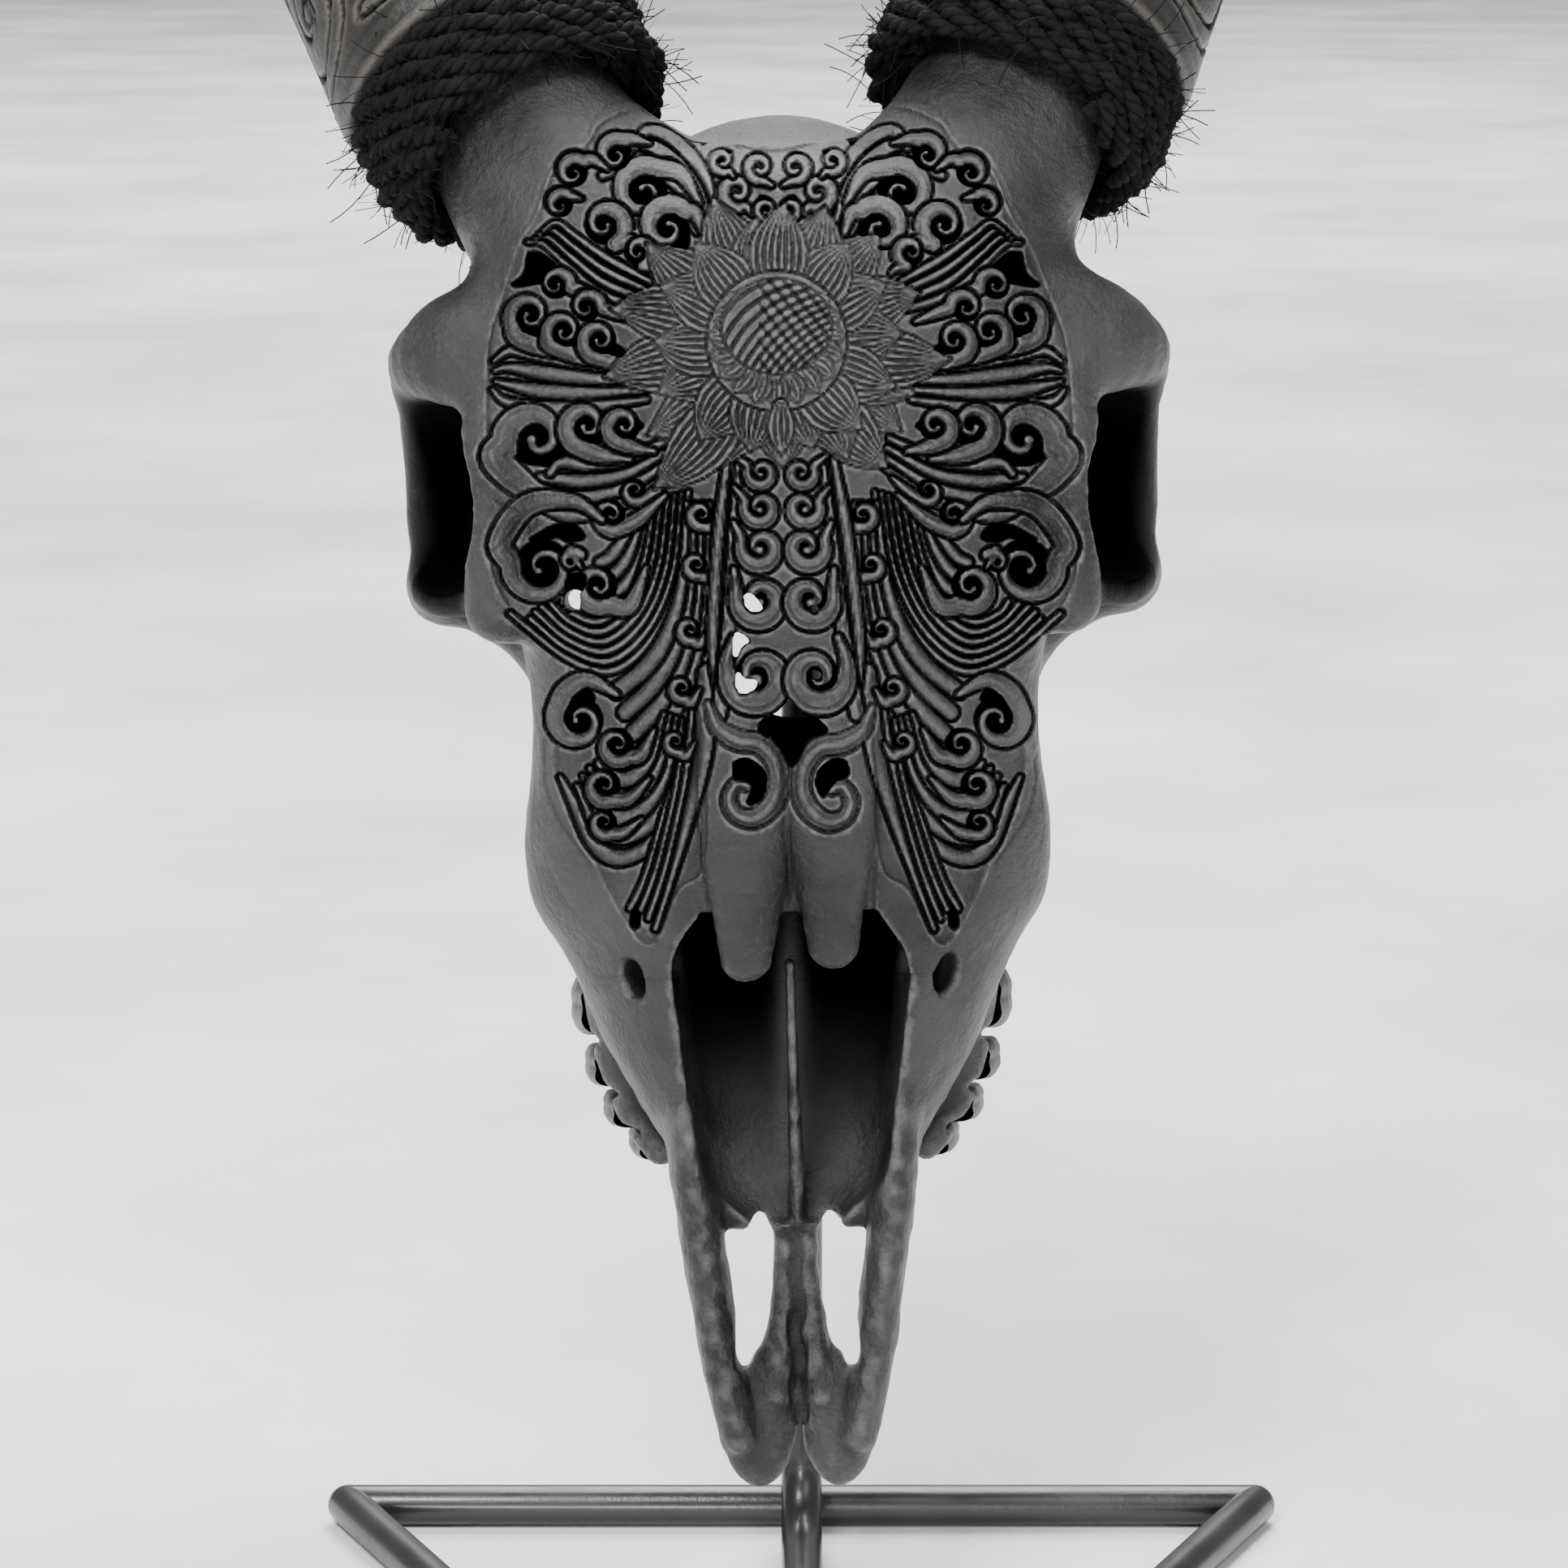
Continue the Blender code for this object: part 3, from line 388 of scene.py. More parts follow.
def add_forms(field):
    """The outer form of the bone."""
    field.loft(FACE_SECTIONS)
    field.ellipsoid((0.0, 50.0, 200.0), (33.0, 33.0, 33.5), blend=5.0)
    field.ellipsoid((0.0, 72.0, 192.0), (29.0, 20.0, 26.0), (20.0, 0.0, 0.0), blend=5.0)
    field.chain(((0.0, 68.0, 158.0), (0.0, 74.0, 168.0), (0.0, 80.0, 184.0)), (8.0, 11.0, 14.0), blend=5.0)
    # Crest across the nape and the line down its middle
    half_nape = ((31, 70, 196), (24, 84, 206), (12, 90, 213))
    nape = (*((-x, y, z) for x, y, z in half_nape), (0, 91, 215), *reversed(half_nape))
    field.chain(nape, (2.6, 3.2, 3.2, 3.0, 3.2, 3.2, 2.6), blend=4.0)
    field.chain(((0, 91, 214), (0, 94, 204), (0, 93, 196)), (2.4, 2.6, 1.8), blend=4.0)
    for side in (-1, 1):
        def chain(points, radii, squash=1.0, blend=3.0):
            field.chain([(side * x, y, z) for x, y, z in points], radii, squash, blend)

        # Condyle, bulla and the hooked process beside it
        field.ellipsoid((side * 13.0, 90.0, 190.0), (7.5, 7.0, 11.0), (20.0, 0.0, side * -20.0), blend=2.5)
        field.ellipsoid((side * 22.0, 84.0, 178.0), (7.0, 9.0, 9.0), blend=2.0)
        chain(((24, 86, 192), (26, 95, 184), (25, 101, 172)), (5.0, 4.0, 2.2), blend=2.0)
        # Horn root flaring out of the frontal bone, and the bare neck of the horn core
        neck = HORN_ROOT[side] + unit(HORN_AXIS[side]) * 25.5
        flare = ((17.0, 31.0, 190.0), (24.0, 29.0, 205.0), (31.5, 30.5, 215.0))
        flare = [(side * x, y, z) for x, y, z in flare]
        field.chain([*flare, neck], (20.0, 24.6, 21.4, 16.0), blend=5.0)
        tip = HORN_ROOT[side] + unit(HORN_AXIS[side]) * (NECK_LENGTH + 3.0)
        field.chain([HORN_ROOT[side], tip], (CORE_ROOT_RADIUS, CORE_NECK_RADIUS), blend=4.0)
        # Brow over the orbit, its knob, and the bar that closes the orbit behind
        brow = ((34, 15, 191), (48, 16, 190.5), (57, 21, 190.5), (61, 30, 189), (61.5, 37, 186))
        chain(brow, (11.0, 9.5, 8.8, 7.2, 5.0), 0.8)
        chain(((59, 34, 187), (59.5, 43, 178), (59.5, 46, 164), (59.5, 42, 151)), (7.2, 7.0, 6.6, 5.6), 0.8)
        # Bone that slopes from the horn root down to the brow
        slope = ((35, 23, 209), (38.5, 21, 206), (46, 18, 199.5), (53, 18.5, 194))
        chain(slope, (7.0, 7.0, 7.0, 7.2), blend=6.0)
        # Lower rim of the orbit, the lacrimal edge and the cheekbone running back to the braincase
        chain(((40, 18, 148), (50, 23, 151), (59, 31, 151), (60.5, 42, 152)), (6.6, 5.0, 4.6, 5.0), blend=4.0)
        chain(((46, 14, 183), (49, 12, 174), (49.5, 13, 162), (48, 16, 148)), (7.0, 4.5, 4.5, 6.0), blend=4.0)
        arch = ((59, 44, 152), (58, 56, 164), (53, 64, 178), (42, 68, 192), (30, 66, 198))
        chain(arch, (5.0, 4.2, 4.0, 5.0, 8.0), 1.2)
        cheekbone = ((35, 36, 112), (36, 38, 130), (44, 40, 143), (54, 42, 149), (59, 44, 152))
        chain(cheekbone, (9.0, 8.0, 6.0, 5.4, 5.0))
        # Tooth-bearing ridge of the upper jaw and the wing beside the throat
        ridge = [(x - 1.2, y - 6.5, z) for x, y, z, _, _ in TOOTH_ROWS]
        chain(ridge, (2.8, 3.2, 4.0, 5.0, 5.4, 5.0))
        chain(((15, 52, 120), (14, 62, 134), (15, 70, 150), (15, 76, 166)), (4.0, 3.0, 2.8, 4.0), 1.6, 2.0)
        # Side rail of the muzzle, its lobed tip and the inner spine between the foramina
        rail = ((18.0, 27, 60), (17.0, 26, 46), (15.3, 26.5, 32), (13.0, 27.5, 16), (10.2, 29, 3))
        chain(rail, (4.8, 4.0, 3.8, 3.8, 3.6), 1.9, 1.5)
        field.ellipsoid((side * 6.9, 30.5, 5.5), (6.6, 4.6, 12.0), (-6.0, 0.0, side * 6.0), blend=1.6)
        chain(((2.4, 34, 58), (2.0, 33, 40), (2.2, 32, 24), (4.4, 31, 10)), (2.4, 2.1, 2.4, 3.6), 1.4, 1.5)


def cut_hollows(field):
    """The cavities of the nose, mouth, orbits, temples and braincase."""
    nasal_opening = (
        (40.0, 8.0, 12.0, 20.0, 32.0, 2.4, 2.6),
        (46.0, 13.6, 0.0, 20.0, 34.5, 2.6, 3.0),
        (60.0, 17.2, 0.0, 20.0, 36.5, 2.6, 3.4),
        (76.0, 19.4, 0.0, 20.0, 37.5, 2.6, 3.6),
        (88.0, 20.0, 0.0, 20.0, 38.0, 2.6, 3.6),
        (96.0, 16.4, 2.0, 20.0, 38.0, 2.4, 3.6),
    )
    field.loft(nasal_opening, blend=1.0, cut=True)
    nasal_chamber = (
        (72.0, 12.0, 12.0, 24.0, 36.0, 2.4, 3.0),
        (84.0, 18.0, 10.5, 24.0, 38.0, 2.4, 3.4),
        (100.0, 22.5, 9.0, 24.0, 38.5, 2.3, 3.2),
        (120.0, 26.0, 6.0, 24.0, 39.5, 2.2, 3.0),
        (142.0, 25.0, 4.0, 23.0, 41.0, 2.2, 2.6),
        (160.0, 20.0, 4.0, 18.0, 32.0, 2.2, 2.2),
        (170.0, 10.0, 7.0, 15.0, 23.0, 2.0, 2.0),
    )
    field.loft(nasal_chamber, blend=1.5, cut=True)
    # Throat, hollow of the palate, braincase and the opening at the back of the skull
    throat = ((0, 30, 136), (0, 46, 141), (0, 62, 142), (0, 92, 142))
    field.chain(throat, (12.0, 13.0, 12.5, 13.0), blend=2.0, cut=True)
    field.ellipsoid((0.0, 60.0, 92.0), (23.0, 18.0, 46.0), (4.0, 0.0, 0.0), blend=2.5, cut=True)
    field.ellipsoid((0.0, 52.0, 198.0), (27.0, 25.0, 23.0), blend=2.0, cut=True)
    field.chain(((0, 64, 194), (0, 84, 199), (0, 112, 206)), (9.4, 9.6, 10.4), blend=1.5, cut=True)
    # Crooked joint down the middle of the muzzle
    joint = [(0.45 * (-1) ** k, 28.6 + 0.04 * k, 6.0 + 5.0 * k) for k in range(11)]
    field.chain(joint, [1.3] * 11, blend=0.6, cut=True, step=1.5)
    # Small tunnel behind one piercing of the left cheek
    field.chain(((-36.0, 6.0, 149.0), (-36.0, 82.0, 149.0)), (1.9, 2.3), blend=0.5, cut=True)
    for side in (-1, 1):
        def hollow(centre, radii, turn=(0.0, 0.0, 0.0), blend=1.0):
            turned = (turn[0], side * turn[1], side * turn[2])
            field.ellipsoid((side * centre[0], *centre[1:]), radii, turned, blend, cut=True)

        # Orbit, the hollow of the temple, and the long openings between the muzzle's rails and its spine
        hollow((57.0, 25.0, 167.0), (22.0, 16.5, 16.5), (0.0, 0.0, -22.0), 2.2)
        hollow((45.5, 56.0, 177.0), (8.0, 12.0, 13.0), (12.0, 0.0, 16.0), 2.5)
        hollow((7.2, 29.0, 30.5), (3.0, 22.0, 11.5), (0.0, -6.0, 0.0), 0.7)
        hollow((8.6, 29.0, 21.5), (2.1, 22.0, 7.5), (0.0, -8.0, 0.0), 0.7)
        # Gaps between the teeth, down the outer edge of the tooth-bearing ridge
        for (x, y, z, _, _), (_, _, above, _, _) in zip(TOOTH_ROWS, TOOTH_ROWS[1:]):
            hollow((x + 6.0, y - 4.0, (z + above) / 2), (4.6, 9.0, 1.4), blend=0.8)
        # Foramen of the cheek, the pits beside it and those in the edge in front of the orbit
        hollow((25.5, 22.0, 84.0), (2.2, 12.0, 3.6), (0.0, 0.0, 30.0), 1.5)
        pits = (
            (27.5, 14.0, 79.0, 2.0), (24.2, 11.5, 90.5, 1.3), (50.5, 15.0, 176.0, 1.4),
            (51.5, 18.0, 158.0, 1.6),
        )
        for x, y, z, r in pits:
            hollow((x, y, z), (r, 2.4 * r, 1.4 * r), (0.0, 0.0, 25.0), 1.2)


def add_nasal_bones(field):
    """Two long rounded tongues that roof the nose and overhang its opening, and the thin wall behind them."""
    tongues = (
        (-1, ((6.0, 7.0, 154), (7.0, 3.8, 132), (7.3, 4.0, 113), (7.1, 6.4, 101), (7.3, 9.2, 88.5))),
        (1, ((6.0, 7.0, 154), (7.0, 3.8, 132), (7.3, 4.0, 113), (7.2, 6.2, 102), (7.4, 8.8, 90.5))),
    )
    for side, points in tongues:
        field.chain([(side * x, y, z) for x, y, z in points], (4.0, 7.2, 7.7, 7.4, 4.4), 0.55, 1.0)
    field.chain(((0.5, 33.0, 40.0), (0.2, 25.0, 62.0), (0.0, 20.0, 86.0)), (1.3, 1.1, 0.9), 3.0, 1.0)


def skull_solid():
    """The whole skull as a field, with faint waves in it and pits that deepen toward the muzzle's tip."""
    field = Field(BODY_LOW, BODY_HIGH, BODY_STEP)
    add_forms(field)
    cut_hollows(field)
    add_nasal_bones(field)
    height = field.low[2] + field.step * np.arange(field.shape[2])
    pitted = 0.08 + 0.14 * np.clip((74.0 - height) / 14.0, 0, 1)
    field.values += 0.16 * soft_noise(field.shape, 9.0, 3) + pitted * soft_noise(field.shape, 2.6, 4)
    return field


def to_world(points):
    """Skull frame in millimetres to world in metres."""
    turn = np.array(SKULL_TURN.to_matrix())
    return np.asarray(points) @ (turn.T * MM) + np.array(SKULL_PLACE)


def view_place(points):
    """Where points of the skull's frame fall in the camera's frame."""
    sight, up = camera_axes()
    q = to_world(points) - np.array(CAMERA_PLACE)
    distance = q @ sight
    half = FRAME_UNITS / 2
    return half + FOCAL_UNITS * q[..., 0] / distance, half - FOCAL_UNITS * (q @ up) / distance


def vertex_normals(points, quads):
    """Outward directions at the points, as long as the quads turn anticlockwise seen from outside."""
    a, b, c, d = (points[quads[:, k]] for k in range(4))
    across = np.cross(c - a, d - b)
    normals = np.zeros_like(points)
    for k in range(4):
        for axis in range(3):
            normals[:, axis] += np.bincount(quads[:, k], across[:, axis], len(points))
    return normals / np.maximum(np.linalg.norm(normals, axis=1, keepdims=True), 1e-12)


def ridge_measure(points, quads, normals, rounds=2):
    """Positive on ridges and edges, negative in grooves, about 1 at a sharp one."""
    count = np.bincount(quads.ravel(), minlength=len(points)).astype(float)
    spread = points
    for _ in range(rounds):
        middles = spread[quads].mean(1)
        total = np.zeros_like(points)
        for k in range(4):
            for i in range(3):
                total[:, i] += np.bincount(quads[:, k], middles[:, i], len(points))
        spread = total / np.maximum(count, 1)[:, None]
    return ((points - spread) * normals).sum(1)


def sample_relief(relief, u, v):
    """Heights of the relief at frame places, zero beyond its edge."""
    h = relief.height
    for axis in (0, 1):
        h = 0.25 * np.roll(h, 1, axis) + 0.5 * h + 0.25 * np.roll(h, -1, axis)
    x = np.clip(u - RELIEF_LEFT, 0, RELIEF_WIDTH - 1.001)
    y = np.clip(v - RELIEF_TOP, 0, RELIEF_HEIGHT - 1.001)
    i, j = x.astype(int), y.astype(int)
    fx, fy = x - i, y - j
    top = h[j, i] * (1 - fx) + h[j, i + 1] * fx
    low = h[j + 1, i] * (1 - fx) + h[j + 1, i + 1] * fx
    within = (u > RELIEF_LEFT) & (u < RELIEF_LEFT + RELIEF_WIDTH - 1)
    within &= (v > RELIEF_TOP) & (v < RELIEF_TOP + RELIEF_HEIGHT - 1)
    return np.where(within, top * (1 - fy) + low * fy, 0.0)


def carved_block(field, low, high, step, relief):
    """Finer samples of the field in a box, with the relief cut into its front, and where that front lies."""
    axes = [np.arange(low[i], high[i] + step / 2, step) for i in range(3)]
    first = [max(0, int((low[i] - field.low[i]) / field.step) - 3) for i in range(3)]
    last = [int((high[i] - field.low[i]) / field.step) + 5 for i in range(3)]
    block = field.values[tuple(slice(f, l) for f, l in zip(first, last))]
    for i in range(3):
        block = cubic_axis(block, i, (axes[i] - field.low[i]) / field.step - first[i])
    block = block.astype(np.float32) + 0.05 * soft_noise(block.shape, 3.3, 7)
    inside = block < 0
    front = np.argmax(inside, axis=1)
    solid = inside.any(axis=1) & (front > 0)
    i, k = np.indices(front.shape)
    here, before = block[i, front, k], block[i, np.maximum(front - 1, 0), k]
    share = np.where(solid, before / np.where(solid, before - here, 1.0), 0.0)
    surface = np.where(solid, low[1] + step * (front - 1 + share), high[1] + FAR)
    x, z = np.meshgrid(axes[0], axes[2], indexing="ij")
    u, v = view_place(np.stack([x, np.minimum(surface, high[1]), z], -1))
    depth = np.where(solid, -sample_relief(relief, u, v), 0.0).astype(np.float32)
    # Cuts that aren't meant to pierce stop short of the far side of thin bone
    layer = np.arange(inside.shape[1])[None, :, None]
    beyond = ~inside & (layer > front[:, None, :])
    last_layer = np.where(beyond.any(axis=1), np.argmax(beyond, axis=1), inside.shape[1])
    allowed = np.maximum((last_layer - front) * step - THIN_FLOOR, LEAST_CUT)
    depth = np.where(depth < PIERCING, np.minimum(depth, allowed), depth)
    cut = surface[:, None, :] + depth[:, None, :] - axes[1][None, :, None]
    wanted = depth[:, None, :] > 0.02
    return np.where(wanted, np.maximum(block, cut), block).astype(np.float32), surface


def in_box(points, low, high, shrink=0.0):
    return ((points > np.array(low) + shrink) & (points < np.array(high) - shrink)).all(1)


def add_skin_pieces(name, points, quads, normals, depth, ridge, mat):
    """Cuts a skin into strips across X, each a piece of its own that shares its neighbours' normals."""
    order = np.argsort(points[quads].mean(1)[:, 0], kind="stable")
    strips = np.array_split(order, int(math.ceil(len(quads) / PIECE_QUADS)))
    turn = np.array(SKULL_TURN.to_matrix())
    for number, strip in enumerate(strips, start=1):
        used, faces = np.unique(quads[strip], return_inverse=True)
        world_normals = normals[used] @ turn.T
        # depth carries painted shade; ridge lightens ridges and darkens grooves in the finish
        attributes = (("depth", depth[used]), ("ridge", ridge[used]))
        label = f"{name}_{number}"
        mesh = plain_mesh(label, to_world(points[used]), faces.reshape(-1, 4), attributes, world_normals)
        add_piece(label, mesh, "skull", mat)


def build_skull(relief, mat):
    """The carved face from the finer block, and the rest of the bone round it."""
    field = skull_solid()
    block, surface = carved_block(field, FACE_LOW, FACE_HIGH, FACE_STEP, relief)
    points, quads = surface_nets(block, FACE_LOW, FACE_STEP)
    quads = quads[in_box(points[quads].mean(1), FACE_LOW, FACE_HIGH, FACE_STEP)]
    normals = vertex_normals(points, quads)
    ridge = ridge_measure(points, quads, normals, 3) / FACE_RIDGE
    across = (points[:, [0, 2]] - np.array(FACE_LOW)[[0, 2]]) / FACE_STEP
    column = np.clip(across.round().astype(int), 0, np.array(surface.shape) - 1)
    # Painted shade: darker the deeper a point lies behind the face's uncut front, and inside the nose and
    # orbits
    depth = np.clip((points[:, 1] - surface[column[:, 0], column[:, 1]]) / FULL_SHADE, 0.0, 1.0)
    depth = np.maximum(depth, hollow_shade(points))
    add_skin_pieces("carved_face", points, quads, normals, depth, ridge, mat)

    # The rest of the bone, whose edge runs a little under the carved face's
    points, quads = surface_nets(field.values, field.low, field.step)
    normals = vertex_normals(points, quads)
    ridge = ridge_measure(points, quads, normals, 2) / BODY_RIDGE
    inner = in_box(points, FACE_LOW, FACE_HIGH, SEAM_OVERLAP)
    under = in_box(points, FACE_LOW, FACE_HIGH, SEAM_START)
    points = points - SEAM_DEPTH * normals * under[:, None]
    quads = quads[~inner[quads].all(1)]
    # The rest of the bone gets only the painted shade of the nose and orbits
    add_skin_pieces("skull_bone", points, quads, normals, hollow_shade(points), ridge, mat)


def ramp(value, start, length):
    """0 before the start, 1 a length past it."""
    return np.clip((value - start) / length, 0, 1)


def hollow_shade(points):
    """Painted shade inside the nose, mouth and orbits, from 0 to 1 by how deep a point lies, held back down
    the vomer as a painted lit strip.
    """
    x, y, z = points.T
    x = np.abs(x)
    width = np.interp(z, (40.0, 46.0, 60.0, 76.0, 88.0, 170.0), (8.0, 13.6, 17.2, 19.4, 20.0, 25.0))
    nose = ramp(width - x, -0.9, 3.0) * ramp(y, 13.0, 6.0) * ramp(-y, -58.0, 5.0)
    nose *= ramp(z, 30.0, 66.0) * ramp(-z, -172.0, 8.0)
    # Painted light: the shade is lifted on a strip down the vomer, as if lit
    vomer = np.exp(-((x / 2.6) ** 2)) * ramp(-z, -112.0, 30.0) * ramp(z, 44.0, 16.0)
    from_orbit = np.sqrt(((x - 54.0) / 12.0) ** 2 + ((y - 29.0) / 11.0) ** 2 + ((z - 167.0) / 15.0) ** 2)
    orbit = np.clip(1.9 - from_orbit, 0, 1)
    return np.maximum(nose * 0.84 * (1.0 - 0.8 * vomer), orbit * 0.95)


# Carved relief, drawn on the plane of the view in frame units

RELIEF_LEFT, RELIEF_TOP = 560, 90
RELIEF_WIDTH, RELIEF_HEIGHT = 810, 1110
MIDLINE_PLACE = (957.0, 420.0)
MIDLINE_LEAN = 0.030

# Heights in millimetres: the ground between the leaves, the pits, those of the crest, a hole right through
GROUND = -0.8
PIT = -6.0
CREST_PIT = -5.0
THROUGH = -30.0

# Width and depth of the line engraved round a leaf or scroll, and the half width that has an inner line
OUTLINE_WIDTH = 4.2
OUTLINE_CUT = 3.4
INNER_LINE_FROM = 5.0


def midline(v):
    """Where the skull's middle lies across the frame at height v."""
    return MIDLINE_PLACE[0] + MIDLINE_LEAN * (v - MIDLINE_PLACE[1])


class Relief:
    """Heights in millimetres over the uncarved face: 0 on the bone, negative where it is cut away."""

    def __init__(self, left=RELIEF_LEFT, top=RELIEF_TOP, columns=RELIEF_WIDTH, rows=RELIEF_HEIGHT):
        self.corner = np.array((left, top))
        self.size = np.array((columns, rows))
        self.v, self.u = np.mgrid[0:rows, 0:columns].astype(np.float32)
        self.u += left
        self.v += top
        self.height = np.zeros_like(self.u)

    def window(self, points, margin):
        """The part of the sheet round some points."""
        points = np.asarray(points, float)
        low = np.clip(np.floor(points.min(0) - margin).astype(int) - self.corner, 0, self.size - 1)
        high = np.clip(np.ceil(points.max(0) + margin).astype(int) - self.corner + 1, 1, self.size)
        return slice(low[1], high[1]), slice(low[0], high[0])

    def near(self, box, a, b, reach):
        """The part of a window that lies within reach of one segment."""
        top, left = self.v[box][0, 0], self.u[box][0, 0]
        x0, x1 = max(min(a[0], b[0]) - reach - left, 0), max(a[0], b[0]) + reach - left + 2
        y0, y1 = max(min(a[1], b[1]) - reach - top, 0), max(a[1], b[1]) + reach - top + 2
        return slice(int(y0), max(int(y1), 0)), slice(int(x0), max(int(x1), 0))

    def fill(self, outline, height, soft=1.2):
        """Cuts the inside of a smooth closed outline down to a height."""
        points = smooth_path(list(outline) + [outline[0]], 3.0)
        box = self.window(points, 4)
        u, v = self.u[box], self.v[box]
        inside = np.zeros(u.shape, bool)
        gap = np.full(u.shape, FAR, np.float32)
        for (ax, ay), (bx, by) in zip(points, np.roll(points, -1, 0)):
            low, high = math.ceil(min(ay, by) - v[0, 0]), math.ceil(max(ay, by) - v[0, 0])
            if high > low >= 0:
                rows = slice(low, high)
                inside[rows] ^= u[rows] < ax + (bx - ax) * (v[rows] - ay) / (by - ay)
            part = self.near(box, (ax, ay), (bx, by), 5)
            du, dv = u[part] - ax, v[part] - ay
            length = max((bx - ax) ** 2 + (by - ay) ** 2, TINY)
            t = np.clip((du * (bx - ax) + dv * (by - ay)) / length, 0, 1)
            gap[part] = np.minimum(gap[part], np.hypot(du - t * (bx - ax), dv - t * (by - ay)))
        depth = np.clip(0.5 + np.where(inside, gap, -gap) / (2 * soft), 0, 1)
        here = self.height[box]
        self.height[box] = np.where(depth > 0, np.minimum(here, here + (height - here) * depth), here)

    def trace(self, path, widths):
        """Distance to a path, the share along it, the side of it and the half width there."""
        path = np.asarray(path, float)
        step = np.hypot(*np.diff(path, axis=0).T)
        along = np.concatenate([[0.0], np.cumsum(step)])
        total = max(along[-1], 1e-6)
        widest = max(widths) + 4.0
        box = self.window(path, widest)
        u, v = self.u[box], self.v[box]
        best = np.full(u.shape, UNREACHED, np.float32)
        where = np.zeros(u.shape, np.float32)
        side = np.zeros(u.shape, np.float32)
        for k, (a, b) in enumerate(zip(path, path[1:])):
            part = self.near(box, a, b, widest)
            du, dv = u[part] - a[0], v[part] - a[1]
            if not du.size:
                continue
            run = b - a
            t = np.clip((du * run[0] + dv * run[1]) / max(run @ run, TINY), 0, 1)
            gap = np.hypot(du - t * run[0], dv - t * run[1])
            nearer = gap < best[part]
            best[part] = np.where(nearer, gap, best[part])
            where[part] = np.where(nearer, (along[k] + t * step[k]) / total, where[part])
            side[part] = np.where(nearer, np.sign(run[0] * dv - run[1] * du), side[part])
        half = np.interp(where, np.linspace(0, 1, len(widths)), widths).astype(np.float32)
        return box, best, where, side, half

    def band(
        self, points, widths, top=0.0, crown=0.4, dish=0.0, veins=0, vein_cut=0.35,
        line=OUTLINE_WIDTH, cut=OUTLINE_CUT, edge=0.0, smooth=True,
    ):
        """A raised stem, leaf or scroll with an engraved line round it.

        widths are half widths from the root to the tip. The crown drops toward the sides, the dish in the
        middle.
        """
        path = smooth_path(points, 3.0) if smooth else np.asarray(points, float)
        box, gap, _, side, half = self.trace(path, widths)
        r = gap / np.maximum(half, 0.3)
        body = top - crown * r**2 - dish * (1.0 - r**2)
        if edge:
            body = body - edge * np.exp(-(((r - 0.55) * half / 1.3) ** 2)) * (half > INNER_LINE_FROM)
        if veins:
            wave = 0.5 + 0.5 * np.cos(math.tau * veins * (r * side * 0.5 + 0.5))
            body = body - vein_cut * wave**2 * (r < 0.93)
        here = self.height[box]
        groove = top - cut * np.minimum(1.0, 1.6 * (1.0 - (gap - half) / line))
        near = (gap > half) & (gap - half < line)
        self.height[box] = np.where(r <= 1.0, body, np.where(near, np.minimum(here, groove), here))

    def groove(self, points, width=1.1, cut=0.6):
        """An engraved line that fades at both ends."""
        box, gap, where, _, _ = self.trace(smooth_path(points, 3.0), [width, width])
        fade = np.minimum(1.0, np.minimum(where, 1.0 - where) * 8.0 + 0.15)
        self.height[box] -= cut * fade * np.exp(-((gap / width) ** 2))

    def dot(self, centre, radius, top=-0.4, crown=0.8, cut=1.3, line=OUTLINE_WIDTH):
        """A round boss."""
        path = [centre, (centre[0] + 0.5, centre[1])]
        self.band(path, [radius, radius], top, crown, cut=cut, line=line, smooth=False)

    def petal(self, base, tip, half, top=-0.2, veins=7, bend=0.0, cut=1.0, crown=0.5, vein_cut=0.55):
        """A pointed petal whose veins run together at its tip."""
        base, tip = np.array(base, float), np.array(tip, float)
        run = tip - base
        across = np.array((-run[1], run[0]))
        points = [base + run * t + across * bend * 0.5 * math.sin(math.pi * t) for t in np.linspace(0, 1, 5)]
        widths = [half * s for s in (0.5, 0.8, 0.98, 1.0, 0.84, 0.5, 0.03)]
        self.band(points, widths, top, crown, veins=veins, line=2.4, cut=cut, vein_cut=vein_cut)


def spiral(centre, radius, start, turns, end_radius=0.16):
    """Points winding in to the centre from start, in degrees clockwise from the right."""
    points = []
    count = max(8, int(abs(turns) * 16))
    for t in np.linspace(0, 1, count + 1):
        r = radius * ((1 - t) ** 0.9 * (1 - end_radius) + end_radius)
        a = math.radians(start) + turns * math.tau * t
        points.append((centre[0] + r * math.cos(a), centre[1] + r * math.sin(a)))
    return points


def circle(centre, radius):
    return spiral(centre, radius, 0, 1.0, 1.0)[:-1]


# Design of the foliage: the left half, which the right half mirrors

FIELD = [
    (957, 186), (900, 176), (860, 150), (800, 132), (745, 150), (722, 180), (684, 208), (664, 262),
    (640, 306), (622, 360), (604, 420), (600, 500), (606, 580), (640, 622), (604, 660), (612, 720),
    (650, 776), (690, 812), (700, 830), (686, 880), (684, 950), (702, 1008), (728, 1048), (752, 1100),
    (790, 1160), (812, 1150), (836, 1096), (868, 1060), (872, 900), (890, 780), (896, 560), (957, 560),
]
COLUMN_FIELD = [(896, 556), (964, 556), (968, 700), (970, 890), (940, 894), (898, 900), (892, 780)]

# Lines engraved round the field
RIMS = (
    [(722, 172), (736, 144), (760, 125), (795, 121)],
    [(690, 192), (672, 220), (661, 256), (648, 284)],
    [(672, 900), (672, 960), (688, 1010), (722, 1058), (730, 1074)],
)

